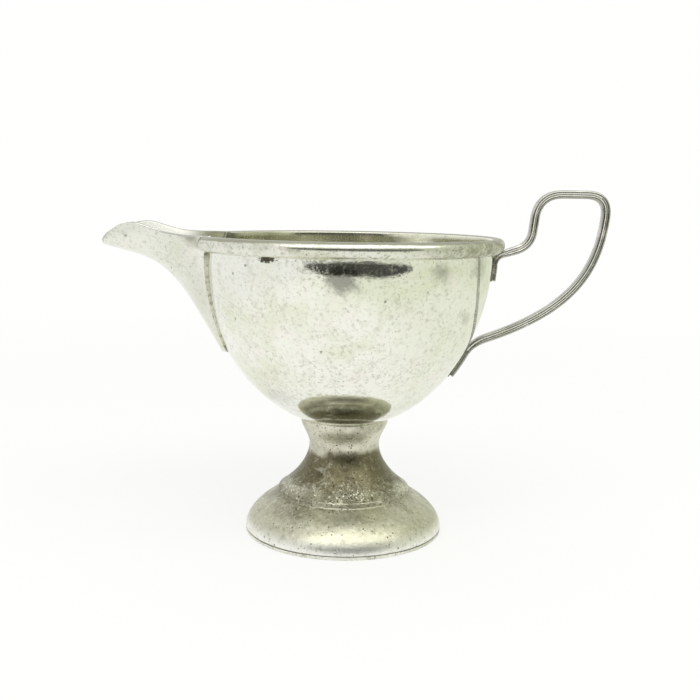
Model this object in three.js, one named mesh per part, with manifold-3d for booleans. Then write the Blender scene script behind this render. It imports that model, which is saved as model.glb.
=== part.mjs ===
// A small silver-plated milk jug on a pedestal foot, in millimetres.
// It stands on z = 0 with its spout towards -x and its handle towards +x.

import * as THREE from "three";
import { mergeVertices } from "three/addons/utils/BufferGeometryUtils.js";
import Module from "manifold-3d";

// Bowl: half an ellipse turned about the upright axis, with a straight band above it
const bowlRadius = 39.7;
const bowlDepth = 49.9; // height of the half ellipse
const bowlBand = 3; // from there to the top of the rim
const bowlWall = 0.9;
const edgeDrop = 0.35; // the bowl's edge lies this far under the top of the rim
const edgeBevel = 0.3; // inside that edge
const notchMargin = 1; // the notch behind the spout keeps this far inside it

// Rim moulding: a half-round wire on the outside of the band
const mouldingReach = 3; // out from the bowl
const mouldingHeight = 4.3;
const mouldingBelly = 2.3; // height of its underside, which curves in to the bowl
const mouldingRound = 1.2; // radius of its upper edges

// Spout: a trough of sheet, wide at the bowl and narrow at the beak
const spoutLength = 23.9; // beyond the rim moulding
const spoutSheet = 1;
const tipDrop = 3.5; // the tip lies this far under the top of the rim
const keelFoot = 32.4; // the keel starts this far under the top of the rim
const keelStand = 1.5; // and this far off the bowl
const keelFootLean = 2; // degrees, by which it is steeper than the bowl there
const keelFootPull = 30; // a longer pull keeps the first direction for longer
const keelTipSlope = 14.5; // degrees
const keelTipPull = 15;
const mouthHalf = 19; // half the width where the lips leave the rim
const waistHalf = 12.4; // half the width midway
const beakHalf = 9.3; // half the width behind the beak
const beakRound = 1.7; // the lips turn in by this much at the pouring edge
const beakLength = 4.3; // the pouring edge runs back this far from the tip
const lipDip = 0.3; // the lips leave the rim this far under its top
const lipRise = 2.8; // and climb this far over it near the beak
const lipFlare = 4.4; // they lean out this far beside the bowl
const flareFade = 1.5; // the lean dies away sooner towards the beak with a higher value
const flareHook = 4; // and keeps nearer to the lips
const mouthSquare = 3; // form of the section, 2 for an ellipse and more for a squarer one
const beakSquare = 2.3;

// Handle: reeded wire, flattened into a tab at each end
const handleDepth = 29.2; // the loop's outside stands this far beyond the rim moulding
const handleRise = 13.1; // and its top this far over the rim
const wireThick = 2.1;
const wireWide = 2.7;
const wireEase = 0.3; // bevel on its edges
const reedGroove = 0.3; // width and depth of the groove along each side
const tabThick = 1.15;
const upperTab = 6.6; // lengths of the tabs on the wall
const lowerTab = 9.1;
const tabRamp = 4.5; // the wire thickens over this length
const tabBend = 1.8; // sizes of the bends, from the corner to where they start
const riserBend = 4;
const shoulderBend = 6.6;
const outerBend = 6;
const heelBend = 4;
const runDrop = 5.1; // the wire leaves the bowl this far under the top of the rim
const runSlope = 18; // degrees
const riserStand = 7.5; // the riser starts this far beyond the rim moulding
const riserLean = 1.6;
const sweepLean = 2; // the loop's outer side leans in as it comes down
const sweepPull = 15;
const sweepEndPull = 24.5;
const sweepEndSlope = 19.5; // degrees
const handleFoot = 29; // the loop meets the bowl this far under the top of the rim
const heelDrop = 3; // from there to the start of the lower tab

// Pedestal: a spun shell, open underneath
const pedestalHeight = 31.8; // from the table to the lip under the bowl
const pedestalWall = 0.9;
const lipRadius = 12.25;
const waistRadius = 9.8;
const waistDrop = 7.2; // the waist lies this far under the lip
const waistFullness = 0.74; // 0 for a curve that leaves its end at once, 1 for a sharp one
const flareFullness = 0.36;
const lipFullness = 0.29;
const stepRadius = 18.4;
const stepHeight = 12.4;
const stepBead = 1.4; // height of the bead at the step
const stepGroove = 0.5; // depth of the groove under it
const neckSlope = 31; // degrees, where the neck leaves the step
const neckFullness = 0.39;
const domeSlope = 28.4; // degrees, where the dome meets the step
const domeFullness = 0.65;
const footRadius = 27.6;

// Foot ring
const ringHeight = 0.95;
const ringWidth = 2.2;
const ringBevel = 0.3;

// Solder
const solderGap = 0.3; // clearance between pieces that are soldered together
const seamFillet = 2; // width of the fillet at the top of the spout's seam
const seamFilletEnd = 0.6; // and at its foot
const tabFillet = 0.7;
const tabSolderRise = 3; // the fillet runs up this far from a tab's end
const neckFillet = 1.6;
const filletHollow = 0.36; // its face lies at this share of the width along both legs
const leastSine = 0.3; // limits its shift where the two faces meet at a flat angle

const facets = 60; // round the upright axis
const startPlace = -0.2; // the trough is drawn from here, inside the bowl, and cut by it
const seamLimit = 0.5; // the seam lies nearer to the bowl than this place

// Heights and places that follow from the sizes
const lipShare = Math.sqrt(1 - (lipRadius / bowlRadius) ** 2);
const bowlCentre = pedestalHeight + solderGap + bowlDepth * lipShare;
const rimTop = bowlCentre + bowlBand;
const rimRadius = bowlRadius + mouldingReach;
const mouldingFoot = rimTop - mouldingHeight;
const keelFootHeight = rimTop - keelFoot;
const spoutReach = rimRadius + spoutLength;
const handleReach = rimRadius + handleDepth;
const middle = (spoutReach - handleReach) / 2; // puts the origin midway between tip and loop

const wasm = await Module();
wasm.setup();
const radians = THREE.MathUtils.degToRad;
const lerp = THREE.MathUtils.lerp;

const silver = new THREE.MeshStandardMaterial({
  color: 0xc9c8bd,
  roughness: 0.22,
  metalness: 1,
});
const tarnished = new THREE.MeshStandardMaterial({
  color: 0xa9a58f,
  roughness: 0.34,
  metalness: 1,
});
const solder = new THREE.MeshStandardMaterial({
  color: 0x9c9a8c,
  roughness: 0.45,
  metalness: 1,
});

function solidOf(geometry) {
  const bare = geometry.index ? geometry.toNonIndexed() : geometry.clone();
  bare.deleteAttribute("normal");
  bare.deleteAttribute("uv");
  const joined = mergeVertices(bare, 1e-4);
  const mesh = new wasm.Mesh({
    numProp: 3,
    vertProperties: joined.attributes.position.array,
    triVerts: new Uint32Array(joined.index.array),
  });
  return new wasm.Manifold(mesh);
}

function geometryOf(solid) {
  const mesh = solid.getMesh();
  return new THREE.BufferGeometry()
    .setAttribute("position", new THREE.BufferAttribute(mesh.vertProperties, 3))
    .setIndex(new THREE.BufferAttribute(mesh.triVerts, 1));
}

// A closed profile of [radius, height] pairs, turned about the upright axis.
function turned(profile) {
  const points = profile.map(([radius, height]) => new THREE.Vector2(radius, height));
  return new THREE.LatheGeometry(points, facets).rotateX(Math.PI / 2);
}

function block(low, high) {
  const size = high.map((value, i) => value - low[i]);
  const centre = high.map((value, i) => (value + low[i]) / 2);
  return new THREE.BoxGeometry(...size).translate(...centre);
}

function bezier(...pairs) {
  return new THREE.CubicBezierCurve(...pairs.map(([x, y]) => new THREE.Vector2(x, y)));
}

// A curve that leaves its start and reaches its end along straight lines to one corner.
function bend(start, corner, end, startFullness, endFullness) {
  const along = (from, share) => from.map((value, i) => lerp(value, corner[i], share));
  return bezier(start, along(start, startFullness), along(end, endFullness), end);
}

function arc(centreX, centreY, radiusX, radiusY, from, to) {
  return new THREE.EllipseCurve(centreX, centreY, radiusX, radiusY, radians(from), radians(to));
}

function pairsAlong(curve, steps) {
  return curve.getPoints(steps).map((point) => [point.x, point.y]);
}

// The same line of points, moved to its left by a distance.
function movedLeft(points, distance) {
  return points.map(([x, y], i) => {
    const [aheadX, aheadY] = points[Math.min(i + 1, points.length - 1)];
    const [backX, backY] = points[Math.max(i - 1, 0)];
    const length = Math.hypot(aheadX - backX, aheadY - backY);
    const moveX = (-distance * (aheadY - backY)) / length;
    const moveY = (distance * (aheadX - backX)) / length;
    return [x + moveX, y + moveY];
  });
}

function fromQuads(points, quads, triangles = []) {
  const position = points.flatMap((point) => point.toArray());
  const halves = quads.flatMap(([a, b, c, d]) => [a, b, c, a, c, d]);
  return new THREE.BufferGeometry()
    .setAttribute("position", new THREE.Float32BufferAttribute(position, 3))
    .setIndex([...halves, ...triangles]);
}

// A bar through rings of equally many points, closed by a flat fan at each end.
function bar(rings) {
  const count = rings[0].length;
  const last = (rings.length - 1) * count;
  const quads = [];
  for (let start = 0; start < last; start += count)
    for (let j = 0; j < count; j++) {
      const next = (j + 1) % count;
      quads.push([start + j, start + next, start + count + next, start + count + j]);
    }
  const ends = [];
  for (let j = 1; j < count - 1; j++)
    ends.push(0, j + 1, j, last, last + j, last + j + 1);
  return fromQuads(rings.flat(), quads, ends);
}

// A sheet between two equal grids of points, closed along its four edges. Seen from the
// front, the front grid's columns run to the left of its rows.
function sheet(front, back) {
  const columns = front[0].length;
  const right = columns - 1;
  const bottom = front.length - 1;
  const a = (i, j) => i * columns + j;
  const b = (i, j) => (front.length + i) * columns + j;
  const quads = [];
  for (let i = 0; i < bottom; i++) {
    for (let j = 0; j < right; j++) {
      quads.push([a(i, j), a(i, j + 1), a(i + 1, j + 1), a(i + 1, j)]);
      quads.push([b(i, j), b(i + 1, j), b(i + 1, j + 1), b(i, j + 1)]);
    }
    quads.push([a(i, 0), a(i + 1, 0), b(i + 1, 0), b(i, 0)]);
    quads.push([a(i, right), b(i, right), b(i + 1, right), a(i + 1, right)]);
  }
  for (let j = 0; j < right; j++) {
    quads.push([a(0, j), b(0, j), b(0, j + 1), a(0, j + 1)]);
    quads.push([a(bottom, j), a(bottom, j + 1), b(bottom, j + 1), b(bottom, j)]);
  }
  return fromQuads([...front.flat(), ...back.flat()], quads);
}

// Bowl

function bowlRadiusAt(height, offset = 0) {
  const down = Math.max(0, bowlCentre - height) / (bowlDepth + offset);
  return (bowlRadius + offset) * Math.sqrt(Math.max(0, 1 - down * down));
}

function bowlHeightAt(radius) {
  return bowlCentre - bowlDepth * Math.sqrt(1 - (radius / bowlRadius) ** 2);
}

function bowlNormal(point) {
  const side = 1 / bowlRadius ** 2;
  const down = Math.min(0, point.z - bowlCentre) / bowlDepth ** 2;
  return new THREE.Vector3(point.x * side, point.y * side, down).normalize();
}

// Half the section of the bowl, from the axis up to the band.
function bowlCurve(offset, steps) {
  const radius = bowlRadius + offset;
  return pairsAlong(arc(0, bowlCentre, radius, bowlDepth + offset, -90, 0), steps);
}

// All the space that the bowl takes, to cut its neighbours with.
function bowlSpace(offset) {
  const above = rimTop + handleRise;
  return solidOf(turned([...bowlCurve(offset, 24), [bowlRadius + offset, above], [0, above]]));
}

// The notch behind the spout, drawn from the front and cut through the wall.
function makeNotch() {
  const edge = spoutSeam(13, spoutSheet + notchMargin);
  const outline = edge.map((point) => new THREE.Vector2(point.y, point.z));
  const above = rimTop + lipRise;
  const shape = new THREE.Shape([
    ...outline,
    new THREE.Vector2(outline.at(-1).x, above),
    new THREE.Vector2(outline[0].x, above),
  ]);
  return new THREE.ExtrudeGeometry(shape, { depth: rimRadius, bevelEnabled: false })
    .rotateX(Math.PI / 2)
    .rotateZ(Math.PI / 2)
    .translate(-rimRadius, 0, 0);
}

function makeBowl() {
  const edge = rimTop - edgeDrop;
  const bevel = Math.min(edgeBevel, bowlWall / 2);
  const cup = turned([
    ...bowlCurve(0, 16),
    [bowlRadius, edge],
    [bowlRadius - bowlWall + bevel, edge],
    [bowlRadius - bowlWall, edge - bevel],
    ...bowlCurve(-bowlWall, 14).reverse(),
  ]);
  return geometryOf(solidOf(cup).subtract(solidOf(makeNotch())));
}

// Rim moulding

function makeMoulding() {
  const inside = bowlRadius + solderGap;
  const width = rimRadius - inside;
  const round = Math.min(mouldingRound, width / 2);
  const crown = rimTop - round;
  const under = mouldingFoot + mouldingBelly;
  const ring = turned([
    ...pairsAlong(arc(inside, under, width, mouldingBelly, -90, 0), 4),
    ...pairsAlong(arc(rimRadius - round, crown, round, round, 0, 90), 4),
    ...pairsAlong(arc(inside + round, crown, round, round, 90, 180), 3),
    [inside, mouldingFoot],
  ]);
  const half = mouthHalf + 2 * solderGap;
  const gap = block([-2 * rimRadius, -half, 0], [0, half, 2 * rimTop]);
  return geometryOf(solidOf(ring).subtract(solidOf(gap)));
}

// Spout: sections from the keel up to the lips, from the bowl out to the beak

function makeKeel() {
  const foot = new THREE.Vector3(-bowlRadiusAt(keelFootHeight), 0, keelFootHeight);
  const normal = bowlNormal(foot);
  const footSlope = Math.atan2(-normal.x, -normal.z) + radians(keelFootLean);
  const footX = foot.x - keelStand;
  const footPullX = keelFootPull * Math.cos(footSlope);
  const footPullHeight = keelFootPull * Math.sin(footSlope);
  const tipHeight = rimTop - tipDrop;
  const tipPullX = keelTipPull * Math.cos(radians(keelTipSlope));
  const tipPullHeight = keelTipPull * Math.sin(radians(keelTipSlope));
  return bezier(
    [footX, keelFootHeight],
    [footX - footPullX, keelFootHeight + footPullHeight],
    [-spoutReach + tipPullX, tipHeight - tipPullHeight],
    [-spoutReach, tipHeight],
  );
}

function makeLip() {
  const mouthX = -Math.sqrt(rimRadius ** 2 - mouthHalf ** 2);
  const cornerX = -(spoutReach - beakLength);
  const beakX = cornerX + 2 * beakRound;
  const mouthHeight = rimTop - lipDip;
  return new THREE.CatmullRomCurve3([
    new THREE.Vector3(mouthX + 2 * mouldingReach, mouthHalf, mouthHeight),
    new THREE.Vector3(mouthX, mouthHalf, mouthHeight),
    new THREE.Vector3((mouthX + beakX) / 2, waistHalf, rimTop + lipDip),
    new THREE.Vector3(beakX, beakHalf, rimTop + lipRise),
    new THREE.Vector3(cornerX, beakHalf - beakRound, rimTop + lipRise - lipDip),
  ]);
}

const keel = makeKeel();
const lip = makeLip();

// A point on the spout's outside: out runs from 0 at the bowl to 1 at the beak,
// and across from -1 at one lip over 0 at the keel to 1 at the other.
function spoutPoint(out, across) {
  if (out < 0) return spoutPoint(0, across).add(new THREE.Vector3(-out * spoutReach, 0, 0));
  const low = keel.getPointAt(out);
  const high = lip.getPointAt(out);
  const angle = Math.abs(across) * (Math.PI / 2);
  const power = 2 / lerp(mouthSquare, beakSquare, out);
  const rise = 1 - Math.cos(angle) ** power;
  const flare = lipFlare * (1 - out) ** flareFade;
  const half = (high.y - flare) * Math.sin(angle) ** power + flare * rise ** flareHook;
  return new THREE.Vector3(
    lerp(low.x, high.x, rise),
    Math.sign(across) * half,
    lerp(low.y, high.z, rise),
  );
}

function spoutNormal(out, across) {
  const step = 1e-3;
  const far = Math.min(1, out + step);
  const goingOut = spoutPoint(far, across).sub(spoutPoint(far - 2 * step, across));
  const goingUp = spoutPoint(out, Math.min(1, across + step));
  goingUp.sub(spoutPoint(out, Math.max(-1, across - step)));
  return goingOut.cross(goingUp).normalize();
}

// The same point on the inside of the sheet, no higher than the lip.
function spoutInside(out, across) {
  const point = spoutPoint(out, across);
  const lipHeight = lip.getPointAt(Math.max(0, out)).z;
  point.addScaledVector(spoutNormal(out, across), -spoutSheet);
  point.z = Math.min(point.z, lipHeight);
  return point;
}

// How far out the spout's surface leaves the bowl, for one line across.
function seamPlace(across) {
  let inside = startPlace;
  let outside = seamLimit;
  const halvings = 30;
  for (let i = 0; i < halvings; i++) {
    const out = (inside + outside) / 2;
    const point = spoutPoint(out, across);
    const isOut = Math.hypot(point.x, point.y) > bowlRadiusAt(point.z);
    if (isOut) outside = out;
    else inside = out;
  }
  return outside;
}

// Points along the seam, moved to the inside of the spout by a distance.
function spoutSeam(steps, distance) {
  return Array.from({ length: steps + 1 }, (_, i) => {
    const across = (2 * i) / steps - 1;
    const out = seamPlace(across);
    return spoutPoint(out, across).addScaledVector(spoutNormal(out, across), -distance);
  });
}

function makeSpout() {
  const rows = 18;
  const columns = 20;
  const outer = [];
  const inner = [];
  for (let i = 0; i <= rows; i++) {
    const out = lerp(startPlace, 1, i / rows);
    const across = Array.from({ length: columns + 1 }, (_, j) => (2 * j) / columns - 1);
    outer.push(across.map((place) => spoutPoint(out, place)));
    inner.push(across.map((place) => spoutInside(out, place)));
  }
  return geometryOf(solidOf(sheet(inner, outer)).subtract(bowlSpace(solderGap)));
}

// A run of solder in the corner between two faces. Each place has its point in the
// corner, the two directions that lie in the faces, and the width along each.
function filletRing({ point, first, second, width }) {
  const sine = Math.max(leastSine, first.clone().cross(second).length());
  const corner = point
    .clone()
    .addScaledVector(first, solderGap / sine)
    .addScaledVector(second, solderGap / sine);
  const at = (a, b) =>
    corner.clone().addScaledVector(first, a * width).addScaledVector(second, b * width);
  return [corner, at(1, 0), at(filletHollow, filletHollow), at(0, 1)];
}

function makeSpoutSolder() {
  const steps = 30;
  const rings = [];
  for (let i = 0; i <= steps; i++) {
    const across = (2 * i) / steps - 1;
    const out = seamPlace(across);
    const point = spoutPoint(out, across);
    if (point.z > mouldingFoot - 2 * solderGap) continue;
    const wall = bowlNormal(point);
    const trough = spoutNormal(out, across);
    const first = trough.clone().projectOnPlane(wall).normalize();
    const second = wall.clone().projectOnPlane(trough).normalize();
    const share = (point.z - keelFootHeight) / (mouldingFoot - keelFootHeight);
    const width = lerp(seamFilletEnd, seamFillet, share ** 2);
    rings.push(filletRing({ point, first, second, width }));
  }
  return bar(rings);
}

// Handle

const tabX = (height) => bowlRadiusAt(height, solderGap + tabThick / 2);
const runHeight = rimTop - runDrop;
const footHeight = rimTop - handleFoot;

// Straight stretches from corner to corner. A corner is [x, y, size of its bend], and the
// path ends where the last bend does.
function bentPath(corners) {
  const points = corners.map(([x, y]) => new THREE.Vector2(x, y));
  const path = new THREE.Path([points[0]]);
  for (let i = 1; i < points.length - 1; i++) {
    const corner = points[i];
    const size = corners[i][2];
    const before = points[i - 1].clone().sub(corner).setLength(size).add(corner);
    const after = points[i + 1].clone().sub(corner).setLength(size).add(corner);
    path.lineTo(before.x, before.y);
    path.quadraticCurveTo(corner.x, corner.y, after.x, after.y);
  }
  return path;
}

function handlePath() {
  const loopTop = rimTop + handleRise - wireThick / 2;
  const loopOut = handleReach - wireThick / 2;
  const tabEnd = runHeight - upperTab;
  const riserX = rimRadius + riserStand;
  const riserFoot = runHeight + (riserX - tabX(runHeight)) * Math.tan(radians(runSlope));
  const sweepX = loopOut - sweepLean;
  const sweepHeight = loopTop - outerBend - sweepPull;
  const path = bentPath([
    [tabX(tabEnd), tabEnd],
    [tabX(runHeight), runHeight, tabBend],
    [riserX, riserFoot, riserBend],
    [riserX + riserLean, loopTop, shoulderBend],
    [loopOut, loopTop, outerBend],
    [sweepX, sweepHeight],
  ]);
  const cosine = Math.cos(radians(sweepEndSlope));
  const sine = Math.sin(radians(sweepEndSlope));
  const footX = bowlRadiusAt(footHeight, solderGap + wireThick / 2);
  const heelX = footX + heelBend * cosine;
  const heelHeight = footHeight + heelBend * sine;
  path.bezierCurveTo(
    sweepX, sweepHeight,
    heelX + sweepEndPull * cosine, heelHeight + sweepEndPull * sine,
    heelX, heelHeight,
  );
  const tabTop = footHeight - heelDrop;
  path.quadraticCurveTo(footX, footHeight, tabX(tabTop), tabTop);
  const tabSteps = 4;
  for (let i = 1; i <= tabSteps; i++) {
    const height = lerp(tabTop, footHeight - lowerTab, i / tabSteps);
    path.lineTo(tabX(height), height);
  }
  return path;
}

// The wire's section as [across the thickness, y over the width].
function wireSection(thick, groove) {
  const half = thick / 2;
  const wide = wireWide / 2;
  const ease = Math.min(wireEase, half / 2);
  const side = [
    [half, wide - ease],
    [half - ease, wide],
    [reedGroove / 2, wide],
    [0, wide - groove],
    [-reedGroove / 2, wide],
    [ease - half, wide],
    [-half, wide - ease],
  ];
  const nearSide = side.map(([across, y]) => [across, -y]);
  return [...nearSide, ...side.reverse()];
}

function makeHandle() {
  const points = handlePath().getPoints(8);
  const line = points.filter((point, i) => i === 0 || point.distanceTo(points[i - 1]) > 1e-3);
  const passed = [0];
  for (let i = 1; i < line.length; i++)
    passed.push(passed[i - 1] + line[i].distanceTo(line[i - 1]));
  const rings = line.map((point, i) => {
    const ahead = line[Math.min(i + 1, line.length - 1)];
    const back = line[Math.max(i - 1, 0)];
    const direction = ahead.clone().sub(back).normalize();
    const fromUpperTab = passed[i] - upperTab;
    const fromLowerTab = passed.at(-1) - passed[i] - lowerTab;
    const share = THREE.MathUtils.clamp(Math.min(fromUpperTab, fromLowerTab) / tabRamp, 0, 1);
    const section = wireSection(lerp(tabThick, wireThick, share), reedGroove * share);
    return section.map(([across, y]) => {
      const x = point.x - across * direction.y;
      const height = point.y + across * direction.x;
      return new THREE.Vector3(x, y, height);
    });
  });
  return bar(rings);
}

// A bead of solder down one side of a tab, round its end and up the other side.
function makeTabSolder(endHeight) {
  const half = wireWide / 2;
  const topHeight = endHeight + tabSolderRise;
  const halfway = endHeight + tabSolderRise / 2;
  const cornerSteps = 3;
  const turns = Array.from({ length: cornerSteps + 1 }, (_, i) => (90 * i) / cornerSteps);
  const places = [
    [topHeight, -half, 180],
    [halfway, -half, 180],
    ...turns.map((turn) => [endHeight, -half, 180 + turn]),
    ...turns.map((turn) => [endHeight, half, 270 + turn]),
    [halfway, half, 360],
    [topHeight, half, 360],
  ];
  const rings = places.map(([height, y, turn]) => {
    const x = Math.sqrt(bowlRadiusAt(height) ** 2 - y ** 2);
    const point = new THREE.Vector3(x, y, height);
    const first = bowlNormal(point);
    const away = new THREE.Vector3(0, Math.cos(radians(turn)), Math.sin(radians(turn)));
    const second = away.projectOnPlane(first).normalize();
    return filletRing({ point, first, second, width: tabFillet });
  });
  return bar(rings);
}

// Pedestal

// The outside from the foot to the step, and from the step to the lip.
function pedestalCurves() {
  const waistHeight = pedestalHeight - waistDrop;
  const domeTop = stepHeight - stepBead;
  const domeTopRadius = stepRadius - stepGroove;
  const domeRise = (footRadius - domeTopRadius) * Math.tan(radians(domeSlope));
  const neckRise = (stepRadius - waistRadius) * Math.tan(radians(neckSlope));
  const dome = bend(
    [footRadius, ringHeight],
    [footRadius, domeTop - domeRise],
    [domeTopRadius, domeTop],
    domeFullness,
    domeFullness,
  );
  const neck = bend(
    [stepRadius, stepHeight],
    [waistRadius, stepHeight + neckRise],
    [waistRadius, waistHeight],
    neckFullness,
    waistFullness,
  );
  const flared = bezier(
    [waistRadius, waistHeight],
    [waistRadius, waistHeight + waistDrop * flareFullness],
    [lipRadius, pedestalHeight - waistDrop * lipFullness],
    [lipRadius, pedestalHeight],
  );
  return [pairsAlong(dome, 7), [...pairsAlong(neck, 6), ...pairsAlong(flared, 4).slice(1)]];
}

function makePedestal() {
  const [lower, upper] = pedestalCurves();
  const inner = movedLeft([...lower, ...upper], pedestalWall).slice(1, -1).reverse();
  const innerLip = lipRadius - pedestalWall;
  return turned([
    ...lower,
    [stepRadius, stepHeight - stepBead + stepGroove],
    ...upper,
    [innerLip, bowlHeightAt(innerLip) - solderGap],
    ...inner,
    [footRadius - pedestalWall, ringHeight],
    [footRadius, ringHeight],
  ]);
}

function makePedestalSolder() {
  const outside = lipRadius - pedestalWall - 2 * solderGap;
  const inside = outside - neckFillet;
  const top = (radius) => bowlHeightAt(radius) - solderGap;
  const hollow = filletHollow * neckFillet;
  return turned([
    [inside, top(inside)],
    [outside - hollow, top(outside) - hollow],
    [outside - solderGap, top(outside) - neckFillet],
    [outside, top(outside)],
    [(inside + outside) / 2, top((inside + outside) / 2)],
    [inside, top(inside)],
  ]);
}

// Foot ring

function makeFootRing() {
  const inside = footRadius - ringWidth;
  return turned([
    [inside, 0],
    [footRadius - ringBevel, 0],
    [footRadius, ringBevel],
    [footRadius, ringHeight],
    [inside, ringHeight],
    [inside, 0],
  ]);
}

const jug = new THREE.Group();
jug.position.x = middle;

function addPiece(name, geometry, material) {
  const piece = new THREE.Mesh(geometry, material);
  piece.name = name;
  jug.add(piece);
}

addPiece("bowl", makeBowl(), silver);
addPiece("rim_moulding", makeMoulding(), silver);
addPiece("spout", makeSpout(), silver);
addPiece("handle", makeHandle(), silver);
addPiece("pedestal", makePedestal(), tarnished);
addPiece("foot_ring", makeFootRing(), silver);
addPiece("spout_solder", makeSpoutSolder(), solder);
addPiece("handle_upper_solder", makeTabSolder(runHeight - upperTab), solder);
addPiece("handle_lower_solder", makeTabSolder(footHeight - lowerTab), solder);
addPiece("pedestal_solder", makePedestalSolder(), solder);

export default jug;
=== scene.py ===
# A small silver-plated milk jug on a pedestal foot, dressed over its construction model
from math import acos, atan2, cos, hypot, pi, radians, sin, sqrt, tan
from types import SimpleNamespace
import bmesh
import bpy
from mathutils import Matrix, Vector, noise


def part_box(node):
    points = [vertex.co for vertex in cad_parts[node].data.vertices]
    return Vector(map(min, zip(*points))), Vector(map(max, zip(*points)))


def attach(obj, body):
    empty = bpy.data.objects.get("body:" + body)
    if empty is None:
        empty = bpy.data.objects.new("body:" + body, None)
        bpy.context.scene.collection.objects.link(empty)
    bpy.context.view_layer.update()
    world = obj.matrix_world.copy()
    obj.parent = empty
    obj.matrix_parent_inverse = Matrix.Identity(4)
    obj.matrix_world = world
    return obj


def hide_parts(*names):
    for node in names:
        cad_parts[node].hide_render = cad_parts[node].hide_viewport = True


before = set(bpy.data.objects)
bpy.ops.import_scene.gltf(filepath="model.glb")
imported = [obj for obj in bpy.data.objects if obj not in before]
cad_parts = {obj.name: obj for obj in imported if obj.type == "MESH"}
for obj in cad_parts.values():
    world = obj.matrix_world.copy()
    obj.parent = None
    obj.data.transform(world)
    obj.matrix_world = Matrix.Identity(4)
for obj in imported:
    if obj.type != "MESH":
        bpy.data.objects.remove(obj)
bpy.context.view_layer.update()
print("frame loaded,", len(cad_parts), "nodes")

# Meshes are worked out in millimetres about the jug's upright axis,
# with the spout towards -x and the handle towards +x
perMetre = 1000
weldWithin = 2e-6  # metres; points of a mesh that are closer become one


def sizesOf(node):
    low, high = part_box(node)
    return Vector(low) * perMetre, Vector(high) * perMetre


footLow, footHigh = sizesOf("pedestal")
rimLow, rimHigh = sizesOf("rim_moulding")
bowlLow, bowlHigh = sizesOf("bowl")
axisX = (footLow.x + footHigh.x) / 2
rimTop = rimHigh.z
rimRadius = (rimHigh.y - rimLow.y) / 2
bowlRadius = (bowlHigh.y - bowlLow.y) / 2
footRadius = (footHigh.y - footLow.y) / 2
spoutReach = axisX - sizesOf("spout")[0].x


def lerp(low, high, share):
    return low + (high - low) * share


def clamp(value, low=0.0, high=1.0):
    return max(low, min(high, value))


def smooth(value):
    value = clamp(value)
    return value * value * (3 - 2 * value)


def steps(low, high, count):
    return [lerp(low, high, i / count) for i in range(count + 1)]


def cubic(a, b, c, d, t):
    s = 1 - t
    parts = zip(a, b, c, d)
    return Vector([s**3 * p + 3 * s * s * t * q + 3 * s * t * t * r + t**3 * w for p, q, r, w in parts])


def quadratic(a, b, c, t):
    s = 1 - t
    return Vector([s * s * p + 2 * s * t * q + t * t * r for p, q, r in zip(a, b, c)])


# Gives the point at any share of a line's length
def evenly(points):
    passed = [0.0]
    for before, after in zip(points, points[1:]):
        passed.append(passed[-1] + (after - before).length)

    def at(share):
        want = clamp(share) * passed[-1]
        low, high = 0, len(points) - 1
        while high - low > 1:
            half = (low + high) // 2
            if passed[half] > want:
                high = half
            else:
                low = half
        span = passed[high] - passed[low]
        return points[low].lerp(points[high], (want - passed[low]) / span)

    return at


# A smooth line through a few points, eased by the roots of their distances
def through(points, count):
    ends = [points[0] * 2 - points[1], *points, points[-1] * 2 - points[-2]]
    line = [points[0].copy()]
    for a, b, c, d in zip(ends, ends[1:], ends[2:], ends[3:]):
        ab, bc, cd = (sqrt((q - p).length) for p, q in ((a, b), (b, c), (c, d)))
        leave = ((b - a) / ab - (c - a) / (ab + bc) + (c - b) / bc) * bc
        reach = ((c - b) / bc - (d - b) / (bc + cd) + (d - c) / cd) * bc
        pull = 3 * (c - b) - 2 * leave - reach
        rest = 2 * (b - c) + leave + reach
        line += [b + leave * t + pull * t * t + rest * t**3 for t in steps(0, 1, count)[1:]]
    return line


# Meshes

def makePiece(name, node, slot, materials, points, faces, indexOf=None):
    mesh = bpy.data.meshes.new(name)
    place = [((x + axisX) / perMetre, y / perMetre, z / perMetre) for x, y, z in points]
    mesh.from_pydata(place, [], faces)
    if indexOf:
        mesh.polygons.foreach_set("material_index", [indexOf(i) for i in range(len(faces))])
    shape = bmesh.new()
    shape.from_mesh(mesh)
    bmesh.ops.remove_doubles(shape, verts=shape.verts, dist=weldWithin)
    bmesh.ops.recalc_face_normals(shape, faces=shape.faces)
    shape.to_mesh(mesh)
    shape.free()
    mesh.shade_smooth()
    for material in materials:
        mesh.materials.append(material)
    piece = bpy.data.objects.new(name, mesh)
    bpy.context.collection.objects.link(piece)
    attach(piece, "root")
    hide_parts(node)
    print(name, len(mesh.polygons), "faces")


# Faces between rings of equally many points, each ring closed on itself
def ringFaces(ringCount, count, closed=False):
    faces = []
    for i in range(ringCount if closed else ringCount - 1):
        a = i * count
        b = (i + 1) % ringCount * count
        for j in range(count):
            k = (j + 1) % count
            faces.append((a + j, a + k, b + k, b + j))
    return faces


def capped(rings):
    count = len(rings[0])
    last = (len(rings) - 1) * count
    faces = ringFaces(len(rings), count)
    faces += [tuple(reversed(range(count))), tuple(range(last, last + count))]
    return [point for ring in rings for point in ring], faces


# A closed profile of (radius, height) pairs, turned about the upright axis
def turned(profile, columns):
    points = []
    for j in range(columns):
        turn = 2 * pi * j / columns
        points += [(r * cos(turn), r * sin(turn), z) for r, z in profile]
    return points, ringFaces(columns, len(profile), closed=True)


def arcPairs(x, y, radiusX, radiusY, start, end, count):
    turns = [radians(turn) for turn in steps(start, end, count)]
    return [(x + radiusX * cos(turn), y + radiusY * sin(turn)) for turn in turns]


# Shader nodes

def newMaterial(name):
    material = bpy.data.materials.new(name)
    material.use_nodes = True
    material.node_tree.nodes.clear()
    return material, material.node_tree


def isSocket(value):
    return isinstance(value, bpy.types.NodeSocket)


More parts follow.
